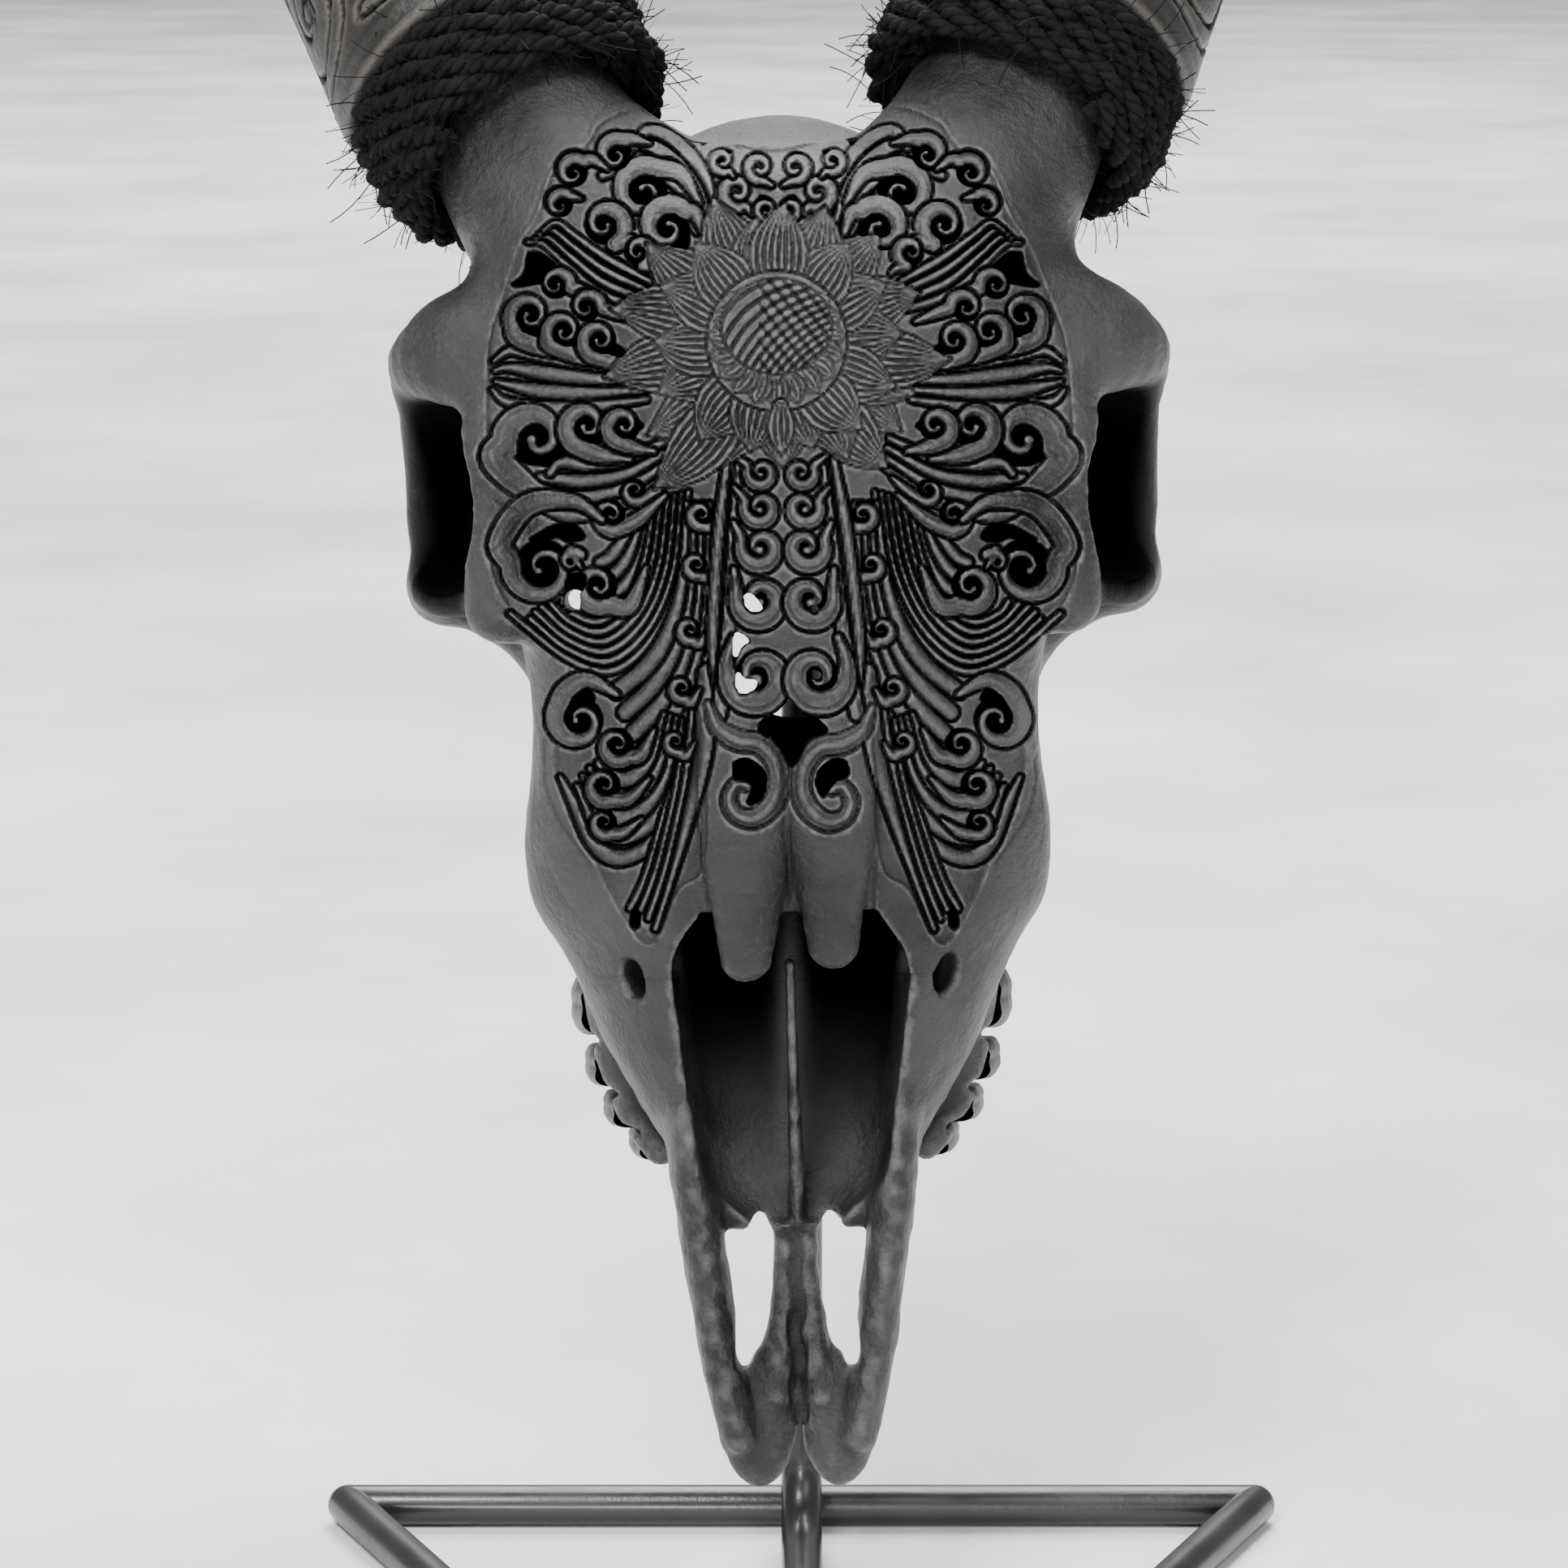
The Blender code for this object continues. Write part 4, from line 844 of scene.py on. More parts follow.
# Pits between the leaves
HOLLOWS = (
    [(650, 310), (668, 312), (694, 338), (674, 346), (640, 352), (630, 350), (645, 336)],
    [(690, 236), (703, 236), (704, 248), (694, 246)],
    [(738, 278), (750, 270), (764, 282), (752, 297), (740, 290)],
    [(812, 276), (832, 268), (848, 285), (844, 318), (832, 308), (824, 292)],
    [(780, 318), (800, 320), (794, 331), (782, 328)],
    [(650, 396), (664, 402), (668, 424), (654, 416)],
    [(690, 404), (700, 410), (712, 430), (706, 438), (694, 424)],
    [(738, 420), (752, 420), (782, 442), (770, 446), (742, 436)],
    [(648, 470), (700, 480), (746, 474), (700, 476), (660, 472)],
    [(652, 528), (674, 530), (698, 540), (698, 556), (676, 574), (656, 566), (647, 545)],
    [(716, 518), (732, 530), (742, 530), (738, 546), (722, 544)],
    [(758, 518), (778, 516), (792, 524), (780, 532), (760, 534)],
    [(712, 588), (760, 572), (806, 552), (770, 580), (724, 596)],
    [(652, 664), (680, 648), (706, 646), (720, 662), (700, 668), (684, 662), (662, 672)],
    [(660, 692), (676, 688), (692, 704), (690, 722), (680, 732), (662, 718)],
    [(730, 722), (742, 726), (744, 744), (732, 742)],
    [(688, 872), (700, 856), (716, 844), (732, 858), (728, 866), (706, 870)],
    [(814, 884), (822, 872), (834, 886), (828, 904), (832, 920), (820, 926), (814, 906)],
    [(758, 930), (770, 944), (784, 940), (776, 954), (762, 952)],
    [(742, 968), (748, 984), (770, 982), (762, 994), (746, 992)],
    [(730, 1040), (750, 1036), (748, 1062), (738, 1060)],
    [(778, 1120), (788, 1122), (786, 1144), (778, 1142)],
)

# Bundles of leaves: two guide lines, from the root to the tip, and how many leaves lie between them
BUNDLES = (
    ([(782, 640), (766, 668), (752, 686), (738, 694)],
     [(806, 640), (798, 700), (782, 734), (752, 758)], 4),
    ([(884, 262), (868, 216), (836, 176), (800, 160), (780, 182)],
     [(858, 286), (832, 250), (796, 222), (768, 208), (742, 216)], 4),
    ([(800, 346), (748, 318), (708, 290), (686, 274), (668, 284)],
     [(800, 382), (742, 362), (700, 328), (668, 300), (650, 298)], 4),
    ([(796, 456), (740, 450), (676, 438), (630, 432), (606, 446)],
     [(796, 492), (726, 500), (664, 503), (622, 494), (606, 480)], 4),
    ([(826, 540), (770, 566), (722, 572), (690, 570), (676, 584)],
     [(834, 576), (776, 616), (716, 634), (684, 630), (628, 596)], 4),
    ([(806, 618), (794, 690), (774, 738), (738, 766), (704, 756), (688, 738)],
     [(848, 606), (838, 706), (806, 782), (756, 826), (700, 812), (628, 756)], 6),
    ([(846, 620), (840, 720), (822, 782), (796, 822), (760, 852)],
     [(884, 620), (876, 760), (858, 850), (828, 916), (792, 966)], 5),
    ([(818, 880), (800, 934), (774, 960), (748, 954), (736, 940)],
     [(848, 890), (838, 980), (800, 1042), (744, 1052), (690, 958)], 5),
    ([(872, 830), (866, 930), (848, 1010), (828, 1080), (806, 1150)],
     [(842, 960), (824, 1010), (806, 1056), (790, 1094), (776, 1120)], 4),
)

# Scrolls: tail, middle, radius, start angle, turns, half width, height of the top
SCROLLS = (
    ([(862, 250), (838, 214)], (792, 236), 34, -62, -1.15, 9.5, 0.0),
    ([(866, 286), (856, 262)], (822, 280), 31, -40, -1.10, 10.0, 0.0),
    ([(800, 176), (776, 170)], (758, 190), 21, -60, -1.0, 7.0, -0.2),
    ([(748, 208), (730, 196)], (706, 212), 19, -50, -1.0, 6.5, -0.4),
    ([(796, 306), (776, 296)], (744, 276), 27, 60, -1.15, 9.0, -0.2),
    ([(716, 244), (700, 240)], (690, 252), 16, -60, -0.9, 5.5, -0.5),
    ([(812, 336), (804, 330)], (786, 310), 18, 70, -1.1, 6.5, 0.0),
    ([(756, 380), (724, 362)], (684, 350), 19, 10, -1.05, 6.5, 0.0),
    ([(786, 396), (756, 384)], (722, 378), 19, 0, -1.05, 6.5, -0.1),
    ([(740, 438), (690, 432), (640, 418)], (652, 388), 25, 150, 1.15, 8.5, 0.0),
    ([(770, 446), (720, 440)], (694, 408), 23, 130, 1.15, 8.0, -0.1),
    ([(790, 448), (756, 446)], (738, 418), 22, 110, 1.15, 8.0, 0.0),
    ([(700, 612), (654, 604), (612, 566)], (660, 540), 38, 170, 0.98, 15.0, 0.1),
    ([(776, 566), (736, 560)], (722, 524), 27, 120, 1.1, 10.0, 0.0),
    ([(806, 556), (782, 552)], (768, 524), 22, 100, 1.1, 8.5, 0.1),
    ([(826, 588), (804, 608)], (782, 604), 15, 60, 1.0, 5.5, -0.1),
    ([(820, 610), (786, 640)], (752, 634), 20, 70, 1.1, 7.5, 0.0),
    ([(742, 640), (706, 618), (650, 622), (616, 668)], (668, 700), 40, 190, -1.12, 11.5, 0.1),
    ([(796, 700), (776, 746)], (736, 722), 27, 60, 1.2, 9.0, 0.1),
    ([(716, 700), (702, 680)], (704, 692), 13, -40, -1.0, 5.5, -0.5),
    ([(760, 856), (724, 838), (698, 850)], (714, 888), 32, 215, -1.1, 10.0, 0.0),
    ([(806, 900), (790, 930)], (760, 918), 22, 50, 1.1, 7.5, 0.0),
    ([(800, 960), (776, 984)], (744, 968), 22, 60, 1.1, 7.5, 0.0),
    ([(790, 1010), (768, 1026)], (744, 1014), 17, 60, 1.0, 6.0, -0.1),
    ([(886, 640), (878, 650)], (864, 634), 15, 80, 1.1, 6.0, 0.1),
    ([(878, 700), (872, 712)], (858, 696), 14, 80, 1.1, 5.5, 0.1),
    ([(870, 780), (862, 794)], (850, 776), 14, 80, 1.1, 5.5, 0.1),
    ([(862, 850), (852, 866)], (840, 848), 14, 80, 1.1, 5.5, 0.1),
    ([(856, 916), (846, 932)], (832, 914), 13, 80, 1.1, 5.0, 0.1),
)

# Share of a scroll's half width from its tail to its middle
SCROLL_TAPER = (0.3, 0.65, 0.95, 1.05, 1.0, 0.78, 0.52, 0.34, 0.24)
COLUMN_TAPER = (0.25, 0.45, 0.7, 0.95, 1.0, 0.85, 0.6, 0.42, 0.3)
CREST_TAPER = (0.4, 0.8, 1.0, 1.0, 0.8, 0.6, 0.45)
SWELL = 1.25

# Two plain stems beside the middle column: their lines and half widths
STEMS = (
    ([(896, 566), (886, 650), (880, 740), (878, 800), (884, 850)], [4, 7, 7, 7, 4]),
    ([(911, 566), (905, 640), (900, 740), (894, 820), (886, 880)], [4, 6, 7, 9, 9]),
)

# Scrolls of the middle column: middle, radius and half width
COLUMN_START = 904
COLUMN_SCROLLS = (
    ((938, 582), 17, 9.0), ((937, 625), 20, 11.0), ((937, 674), 24, 13.0), ((936, 738), 29, 15.5),
    ((933, 832), 37, 19.0),
)

# Openings that pierce the bone, in both halves
HOLES = (
    [(698, 716), (704, 709), (720, 709), (719, 722), (708, 734), (698, 728)],
    [(904, 782), (912, 782), (922, 790), (912, 798), (905, 812)],
    [(916, 736), (924, 732), (934, 742), (938, 752), (922, 752)],
    [(908, 828), (916, 838), (932, 840), (928, 850), (914, 856), (907, 846)],
    [(936, 893), (945, 886), (946, 908), (936, 900)],
    [(1000, 748), (1007, 748), (1006, 755), (1000, 754)],
    [(1001, 828), (1010, 830), (1011, 838), (1003, 836)],
    [(973, 862), (984, 880), (1004, 886), (1018, 902), (996, 912), (982, 938), (974, 944), (966, 928),
     (950, 906), (947, 888), (960, 878)],
    [(905, 940), (920, 936), (940, 950), (943, 968), (936, 986), (922, 990), (928, 970), (918, 962),
     (906, 960)],
    [(1043, 940), (1030, 936), (1012, 948), (1007, 966), (1014, 982), (1020, 974), (1030, 962), (1044, 956)],
)

# Pair of plain scrolls above the nasal bones: the left one, its half widths, and the line that mirrors it
RING_PATH = (
    (872, 868), (884, 896), (908, 912), (936, 917), (956, 938), (961, 968), (950, 994), (928, 1009),
    (906, 1003), (898, 984), (908, 966), (922, 968),
)
RING_WIDTHS = (4, 9, 12, 12, 12, 12, 12, 12, 11, 9, 8, 7)
RING_MIDDLE = 973.5

# Between the horns: pits, and scrolls as middle, radius, half width and start angle
CREST_HOLLOWS = (
    [(878, 196), (886, 184), (902, 186), (892, 194), (882, 210)],
    [(890, 250), (906, 262), (918, 276), (912, 280), (898, 268)],
    [(862, 160), (876, 156), (866, 178)],
    [(936, 240), (950, 246), (950, 272), (944, 262), (934, 250)],
)
CREST_SCROLLS = (
    ((908, 236), 21, 8.0, 60), ((936, 206), 17, 6.5, 80), ((890, 198), 15, 6.0, 60),
    ((944, 258), 13, 5.0, 80),
)

# Joints between the nasal bones and those beside them, and one under the orbit: line, width and depth
JOINTS = (
    ([(973, 1014), (972, 1060), (974, 1118)], 1.6, 0.7),
    ([(868, 1062), (871, 1100), (878, 1150)], 1.3, 0.5),
    ([(1078, 1056), (1077, 1100), (1074, 1150)], 1.3, 0.5),
    ([(604, 612), (640, 640), (596, 690)], 1.2, 0.5),
)

# Lotus: tips of its outer and inner petals, its cup and its seed head
LOTUS_MIDDLE = (958, 424)
OUTER_TIPS = (
    (878, 244), (797, 300), (752, 380), (744, 464), (798, 536), (806, 602), (884, 578), (964, 576),
    (1044, 566), (1094, 576), (1110, 531), (1128, 486), (1171, 442), (1134, 360), (1084, 288), (1016, 254),
)
INNER_TIPS = (
    (931, 268), (858, 300), (814, 352), (806, 420), (812, 484), (862, 542), (924, 556), (1002, 552),
    (1062, 528), (1104, 476), (1112, 412), (1092, 350), (1046, 300), (967, 250),
)
CUP_MIDDLE = (957, 420)
CUP_RADIUS = 86
CUP_PETALS = 15
SEED_MIDDLE = (957, 402)
SEED_REACH = (67, 58)


def draw_half(relief, place):
    """Draws one half of the foliage. place turns a point of the left half into a point of this half."""
    def at(points):
        return [place(p) for p in points]

    relief.fill(at(FIELD), GROUND)
    relief.fill(at(COLUMN_FIELD), GROUND)
    for outline in HOLLOWS:
        relief.fill(at(outline), PIT)
    for rim in RIMS:
        relief.groove(at(rim), 1.6, 0.5)
    for first, last, count in BUNDLES:
        draw_bundle(relief, at(first), at(last), count)
    for tail, centre, radius, start, turns, half, top in SCROLLS:
        relief.fill(at(circle(centre, radius * 0.86)), PIT)
        path = list(tail) + spiral(centre, radius, start, turns)
        relief.band(at(path), [half * SWELL * s for s in SCROLL_TAPER], top=top, crown=0.7, edge=0.35)
        relief.dot(place(path[-1]), half * 0.46, top=top - 0.3, crown=0.6, cut=0.4)
    for path, widths in STEMS:
        relief.band(at(path), widths, edge=0.4)
    # Wound scrolls one over another beside the middle line
    for (cx, cy), radius, half in COLUMN_SCROLLS:
        relief.fill(at(circle((cx, cy), radius * 0.7)), PIT)
        tail = [(COLUMN_START, cy - radius * 1.25), (cx - radius * 1.02, cy - radius * 0.5)]
        path = tail + spiral((cx, cy), radius, 180, -1.22, 0.18)
        relief.band(at(path), [half * s for s in COLUMN_TAPER], top=0.0, crown=0.6, edge=0.5)
        relief.dot(place(path[-1]), half * 0.45, top=-0.1, crown=0.9)


def draw_bundle(relief, first, last, count):
    """Nested leaves between two guide lines, each as wide as its share of the gap between them."""
    first, last = np.array(first, float), np.array(last, float)
    gap = np.hypot(*(last - first).T) / (count - 1)
    taper = np.array([0.9] + [1.0] * (len(first) - 2) + [0.8])
    widths = list(np.clip(0.5 * gap * taper - 2.0, 2.4, 12.0))
    veins = 1 if gap.max() > 13 else 0
    for k in range(count):
        leaf = last + (first - last) * (k / (count - 1))
        reach = 1.0 - 0.07 * ((k * 3) % 4)
        leaf[-1] = leaf[-2] + (leaf[-1] - leaf[-2]) * reach
        relief.band(leaf, widths, top=-0.1 * (k % 2), crown=0.5, veins=veins, vein_cut=0.5)


def lotus(relief):
    """Two rings of broad veined petals round a cup and a seed head."""
    rng = np.random.default_rng(12)
    middle = np.array(LOTUS_MIDDLE, float)
    for tips, half, top, root in ((OUTER_TIPS, 37, -0.5, 0.34), (INNER_TIPS, 36, -0.2, 0.36)):
        for k in rng.permutation(len(tips)):
            tip = np.array(tips[k], float)
            base = middle + (tip - middle) * root
            relief.petal(base, tip, half, top, 8, rng.uniform(-0.13, 0.13), cut=2.0, crown=0.6, vein_cut=1.1)
    # Cup of short petals under the seed head, and one that hangs from it
    relief.dot(CUP_MIDDLE, CUP_RADIUS, top=-0.05, crown=0.5, cut=2.0, line=3.0)
    for angle in np.radians(np.linspace(-40.0, 220.0, CUP_PETALS)):
        ray = np.array((math.cos(angle), math.sin(angle)))
        base = np.array(CUP_MIDDLE) - (0, 4) + ray * 50
        tip = np.array(CUP_MIDDLE) - (0, 2) + ray * (85, 82)
        relief.petal(base, tip, 16, top=0.0, veins=4, cut=1.4, vein_cut=0.8)
    relief.petal((962, 500), (963, 560), 17, top=-0.1, veins=4, cut=2.0, vein_cut=0.9)
    seed_head(relief)


def seed_head(relief):
    """A domed disc cut by two sets of crossing grooves."""
    u, v = relief.u - SEED_MIDDLE[0], relief.v - SEED_MIDDLE[1]
    r = np.hypot(u / SEED_REACH[0], v / SEED_REACH[1])
    bend = 0.0064 * u * v
    one = np.abs(((u * 0.62 + v * 0.78 + bend) / 11.5 + 0.5) % 1.0 - 0.5) * 11.5
    two = np.abs(((u * 0.78 - v * 0.62) / 14.0 + 0.5) % 1.0 - 0.5) * 14.0
    crossed = np.clip((u + 26.0) / 8.0, 0, 1)
    dome = 0.4 * (1 - r**2) - 1.3 * np.exp(-((one / 2.1) ** 2)) - 1.0 * np.exp(-((two / 2.1) ** 2)) * crossed
    rim = (r >= 1.0) & ((r - 1.0) * SEED_REACH[0] < 2.4)
    relief.height = np.where(r < 1.0, dome, relief.height)
    relief.height = np.where(rim, np.minimum(relief.height, -1.1), relief.height)


def ring_scrolls(relief):
    """The pair of plain scrolls that close the foliage above the nasal bones."""
    for points in (RING_PATH, [(2 * RING_MIDDLE - u, v + 4) for u, v in RING_PATH]):
        relief.band(points, RING_WIDTHS, crown=0.9, cut=1.8, edge=0.4)


def crest(relief):
    """Small scrolls between the horns."""
    for side in (-1, 1):
        def at(points):
            return [(LOTUS_MIDDLE[0] - side * (u - LOTUS_MIDDLE[0]), v) for u, v in points]

        for outline in CREST_HOLLOWS:
            relief.fill(at(outline), CREST_PIT)
        for centre, radius, half, start in CREST_SCROLLS:
            tail = (centre[0] + radius * 0.9, centre[1] + radius * 1.3)
            path = [tail, *spiral(centre, radius, start, 1.15, 0.24)]
            relief.band(at(path), [half * s for s in CREST_TAPER], crown=0.7, edge=0.3)


def carve():
    """The whole design, its later parts over its earlier ones."""
    relief = Relief()
    draw_half(relief, lambda p: (float(p[0]), float(p[1])))
    draw_half(relief, lambda p: (2 * midline(p[1]) - p[0] + 1.0, float(p[1])))
    crest(relief)
    ring_scrolls(relief)
    lotus(relief)
    for path, width, cut in JOINTS:
        relief.groove(path, width, cut)
    for outline in HOLES:
        relief.fill(outline, THROUGH, 0.8)
    return relief


# Node helper

class Tree:
    """Short calls for building shader and geometry node trees."""

    def __init__(self, tree):
        self.tree = tree

    def feed(self, node, inputs):
        """Links or sets a node's sockets."""
        for key, value in dict(inputs).items():
            if isinstance(value, bpy.types.Node):
                value = value.outputs[0]
            if isinstance(value, bpy.types.NodeSocket):
                self.tree.links.new(value, node.inputs[key])
            else:
                node.inputs[key].default_value = value

    def node(self, kind, inputs=(), **settings):
        made = self.tree.nodes.new(kind)
        for key, value in settings.items():
            setattr(made, key, value)
        self.feed(made, inputs)
        return made

    def maths(self, operation, *values, clamp=False):
        return self.node("ShaderNodeMath", enumerate(values), operation=operation, use_clamp=clamp).outputs[0]

    def vectors(self, operation, *values):
        return self.node("ShaderNodeVectorMath", enumerate(values), operation=operation).outputs[0]

    def scaled(self, vector, scale):
        return self.node("ShaderNodeVectorMath", {0: vector, "Scale": scale}, operation="SCALE").outputs[0]

    def noise(self, vector, scale, detail=4.0, rough=0.55):
        wanted = {"Vector": vector, "Scale": scale, "Detail": detail, "Roughness": rough}
        return self.node("ShaderNodeTexNoise", wanted).outputs["Fac"]

    def spread(self, value, low, high, out_low=0.0, out_high=1.0):
        wanted = {"Value": value, "From Min": low, "From Max": high, "To Min": out_low, "To Max": out_high}
        return self.node("ShaderNodeMapRange", wanted).outputs["Result"]

    def mix(self, share, first, second):
        return self.node("ShaderNodeMix", {0: share, 6: first, 7: second}, data_type="RGBA").outputs[2]

    def bump(self, height, strength, distance):
        return self.node("ShaderNodeBump", {"Height": height, "Strength": strength, "Distance": distance})

    def attribute(self, name):
        return self.node("ShaderNodeAttribute", attribute_name=name).outputs["Fac"]


def grey(value, warmth=0.0):
    return (value * (1.0 + warmth), value, value * (1.0 - warmth), 1.0)


def new_finish(name, **looks):
    """A new material with the given looks, its tree, its shader and the place on the object."""
    mat = bpy.data.materials.new(name)
    mat.use_nodes = True
    tree = Tree(mat.node_tree)
    shader = mat.node_tree.nodes["Principled BSDF"]
    tree.feed(shader, {key.replace("_", " "): value for key, value in looks.items()})
    return mat, tree, shader, tree.node("ShaderNodeTexCoord").outputs["Object"]


def worn_paint_and_shade_group():
    """Colour, roughness, metallic and height of a dark finish that is lighter on ridges, partly rubbed thin
    and partly painted highlight, and turned near black in hollows and grooves as painted shade.
    """
    group = bpy.data.node_groups.new("worn_paint_and_shade", "ShaderNodeTree")
    face = group.interface
    for name, way, kind in (
        ("Position", "INPUT", "Vector"), ("Base", "INPUT", "Color"), ("Rubbed", "INPUT", "Color"),
        ("Worn_And_Highlight", "INPUT", "Color"), ("Hollow", "INPUT", "Color"), ("Ridge", "INPUT", "Float"),
        ("Depth", "INPUT", "Float"), ("Grain Scale", "INPUT", "Float"), ("Smoothness", "INPUT", "Float"),
        ("Color", "OUTPUT", "Color"), ("Roughness", "OUTPUT", "Float"), ("Metallic", "OUTPUT", "Float"),
        ("Height", "OUTPUT", "Float"),
    ):
        face.new_socket(name=name, in_out=way, socket_type=f"NodeSocket{kind}")
    tree = Tree(group)
    given = tree.node("NodeGroupInput").outputs
    place = given["Position"]
    broad = tree.noise(place, 38.0, 5.0)
    fine = tree.noise(place, given["Grain Scale"], 6.0, 0.65)
    patches = tree.noise(place, 110.0, 3.0)
    # Ridges and grain lift the colour toward the worn tone: partly paint rubbed thin, partly painted
    # highlight
    edge = tree.maths("ADD", given["Ridge"], tree.maths("MULTIPLY", tree.maths("SUBTRACT", fine, 0.5), 0.9))
    mottled = tree.mix(tree.spread(broad, 0.35, 0.68), given["Base"], given["Rubbed"])
    base = tree.mix(0.55, given["Base"], mottled)
    worn = tree.mix(tree.spread(edge, 0.15, 1.1), base, given["Worn_And_Highlight"])
    # Painted shade: grooves and the depth attribute pull the colour toward the near-black hollow tone
    groove = tree.spread(tree.maths("MULTIPLY", given["Ridge"], -1.0), 0.1, 1.0)
    shaded = tree.spread(given["Depth"], 0.22, 0.62)
    dark = tree.maths("MAXIMUM", shaded, tree.maths("MULTIPLY", groove, 0.35))
    colour = tree.mix(dark, worn, given["Hollow"])
    uneven = tree.maths("MULTIPLY", tree.maths("SUBTRACT", patches, 0.5), 0.28)
    rough = tree.maths("ADD", given["Smoothness"], uneven)
    rough = tree.maths("ADD", rough, tree.maths("MULTIPLY", dark, 0.6), clamp=True)
    height = tree.maths("ADD", tree.maths("MULTIPLY", fine, 0.6), tree.maths("MULTIPLY", patches, 0.8))
    # Metallic follows the painted shade, so hollows lose their reflection and stay black
    tree.node("NodeGroupOutput", {"Color": colour, "Roughness": rough, "Metallic": dark, "Height": height})
    return group


def worn_and_shaded_material(name, group, base, rubbed, worn, hollow, smoothness, grain, bump):
    """A material of worn paint with painted shade: four tones from plain to the painted shade of hollows, its
    roughness, grain and bump.
    """
    mat, tree, shader, place = new_finish(name, Specular_IOR_Level=0.3)
    made = tree.node("ShaderNodeGroup", node_tree=group)
    # Depth carries painted shade; Ridge lightens ridges (partly painted highlight) and darkens grooves as
    # painted shade
    tree.feed(made, {
        "Position": place, "Base": base, "Rubbed": rubbed, "Worn_And_Highlight": worn, "Hollow": hollow,
        "Grain Scale": grain,
        "Smoothness": smoothness, "Ridge": tree.attribute("ridge"), "Depth": tree.attribute("depth"),
    })
    # Metallic is driven by the painted shade to keep the hollows black
    tree.feed(shader, {
        "Base Color": made.outputs["Color"], "Roughness": made.outputs["Roughness"],
        "Metallic": made.outputs["Metallic"], "Normal": tree.bump(made.outputs["Height"], bump, 0.0013),
    })
    return mat


# Horn sheaths

HORN_COLUMNS = 220

# Carved belt: its scrolls and their spacing in cells round the horn, its rows of cells up the horn, where its
# carving and its finer mesh end, and the depth in millimetres of one unit of its relief
BELT_SCROLLS = 7
BELT_SPACING = 100
BELT_ROWS = 200
BELT_ROWS_PER_MM = 4.0
BELT_END = 46.0
BELT_MESH_END = 48.0
BELT_DEPTH = 0.42
RINGS_START = 44.0

# Ridge height that counts as one on a horn or a tooth
RING_RIDGE = 0.2


def horn_line(side, distance):
    """Point and direction on a horn's middle line, and the way it bends."""
    axis = unit(HORN_AXIS[side])
    sweep = unit(HORN_SWEEP * np.array((side, 1.0, 1.0)))
    bend = unit(sweep - axis * (sweep @ axis))
    if distance <= NECK_LENGTH:
        return HORN_ROOT[side] + axis * distance, axis, bend
    angle = (distance - NECK_LENGTH) / HORN_BEND_RADIUS
    forward = axis * math.cos(angle) + bend * math.sin(angle)
    start = HORN_ROOT[side] + axis * NECK_LENGTH
    place = start + HORN_BEND_RADIUS * (axis * math.sin(angle) + bend * (1.0 - math.cos(angle)))
    return place, forward, bend


def horn_frame(side, distance):
    """Middle, front and across directions of a horn's section."""
    centre, along, bend = horn_line(side, distance)
    across = unit(np.cross(along, bend))
    front = unit(np.cross(across, along))
    return centre, (front if front[1] < 0 else -front), across


def sheath_radius(along):
    return SHEATH_TIP_RADIUS + (SHEATH_RADIUS - SHEATH_TIP_RADIUS) * (1.0 - along) ** 0.85


def ring_quads(rings, columns):
    """Quads between rings of points that lie one after another."""
    i, j = np.meshgrid(np.arange(rings - 1) * columns, np.arange(columns), indexing="ij")
    k = (j + 1) % columns
    return np.stack([i + j, i + k, i + columns + k, i + columns + j], -1).reshape(-1, 4)


def outward_rings(points, rings, columns, row):
    """Quads and normals of a tube of rings, turned to face out, as its given row tells."""
    quads = ring_quads(rings, columns)
    normals = vertex_normals(points, quads)
    ring = points[row * columns : (row + 1) * columns]
    if normals[row * columns] @ (ring[0] - ring.mean(0)) < 0:
        return quads[:, ::-1], -normals
    return quads, normals


def horn_carving(turns, rise):
    """Height of the carved belt by share round the horn and millimetres above its rim."""
    belt = Relief(0, 0, BELT_SCROLLS * BELT_SPACING, BELT_ROWS)
    last = belt.size[0] - 1
    for line in (8, 20, 160, 172):
        belt.groove([(0, line), (belt.size[0] / 2, line), (last, line)], 2.2, 0.5)
    for k in range(-1, BELT_SCROLLS + 1):
        def at(*points):
            return [(k * BELT_SPACING + u, v) for u, v in points]

        tail = at((10, 150), (40, 140), (66, 122))
        (middle,) = at((52, 86))
        scroll = tail + spiral(middle, 40, 55, -1.35, 0.2)
        belt.band(scroll, [4, 8, 12, 13, 12, 11, 10, 8, 6], crown=0.5, dish=0.2)
        belt.band(at((92, 34), (62, 34), (30, 42), (8, 62), (0, 92)), [3, 6, 8, 6, 3], crown=0.5)
        belt.band(at((98, 60), (100, 100), (92, 140)), [3, 7, 3], crown=0.5)
        belt.dot(middle, 7)
    i = np.clip(((turns % 1.0) * last).astype(int), 0, last - 1)
    j = np.clip((rise * BELT_ROWS_PER_MM).astype(int), 0, BELT_ROWS - 2)
    return np.where(rise < BELT_END, belt.height[j, i], 0.0)


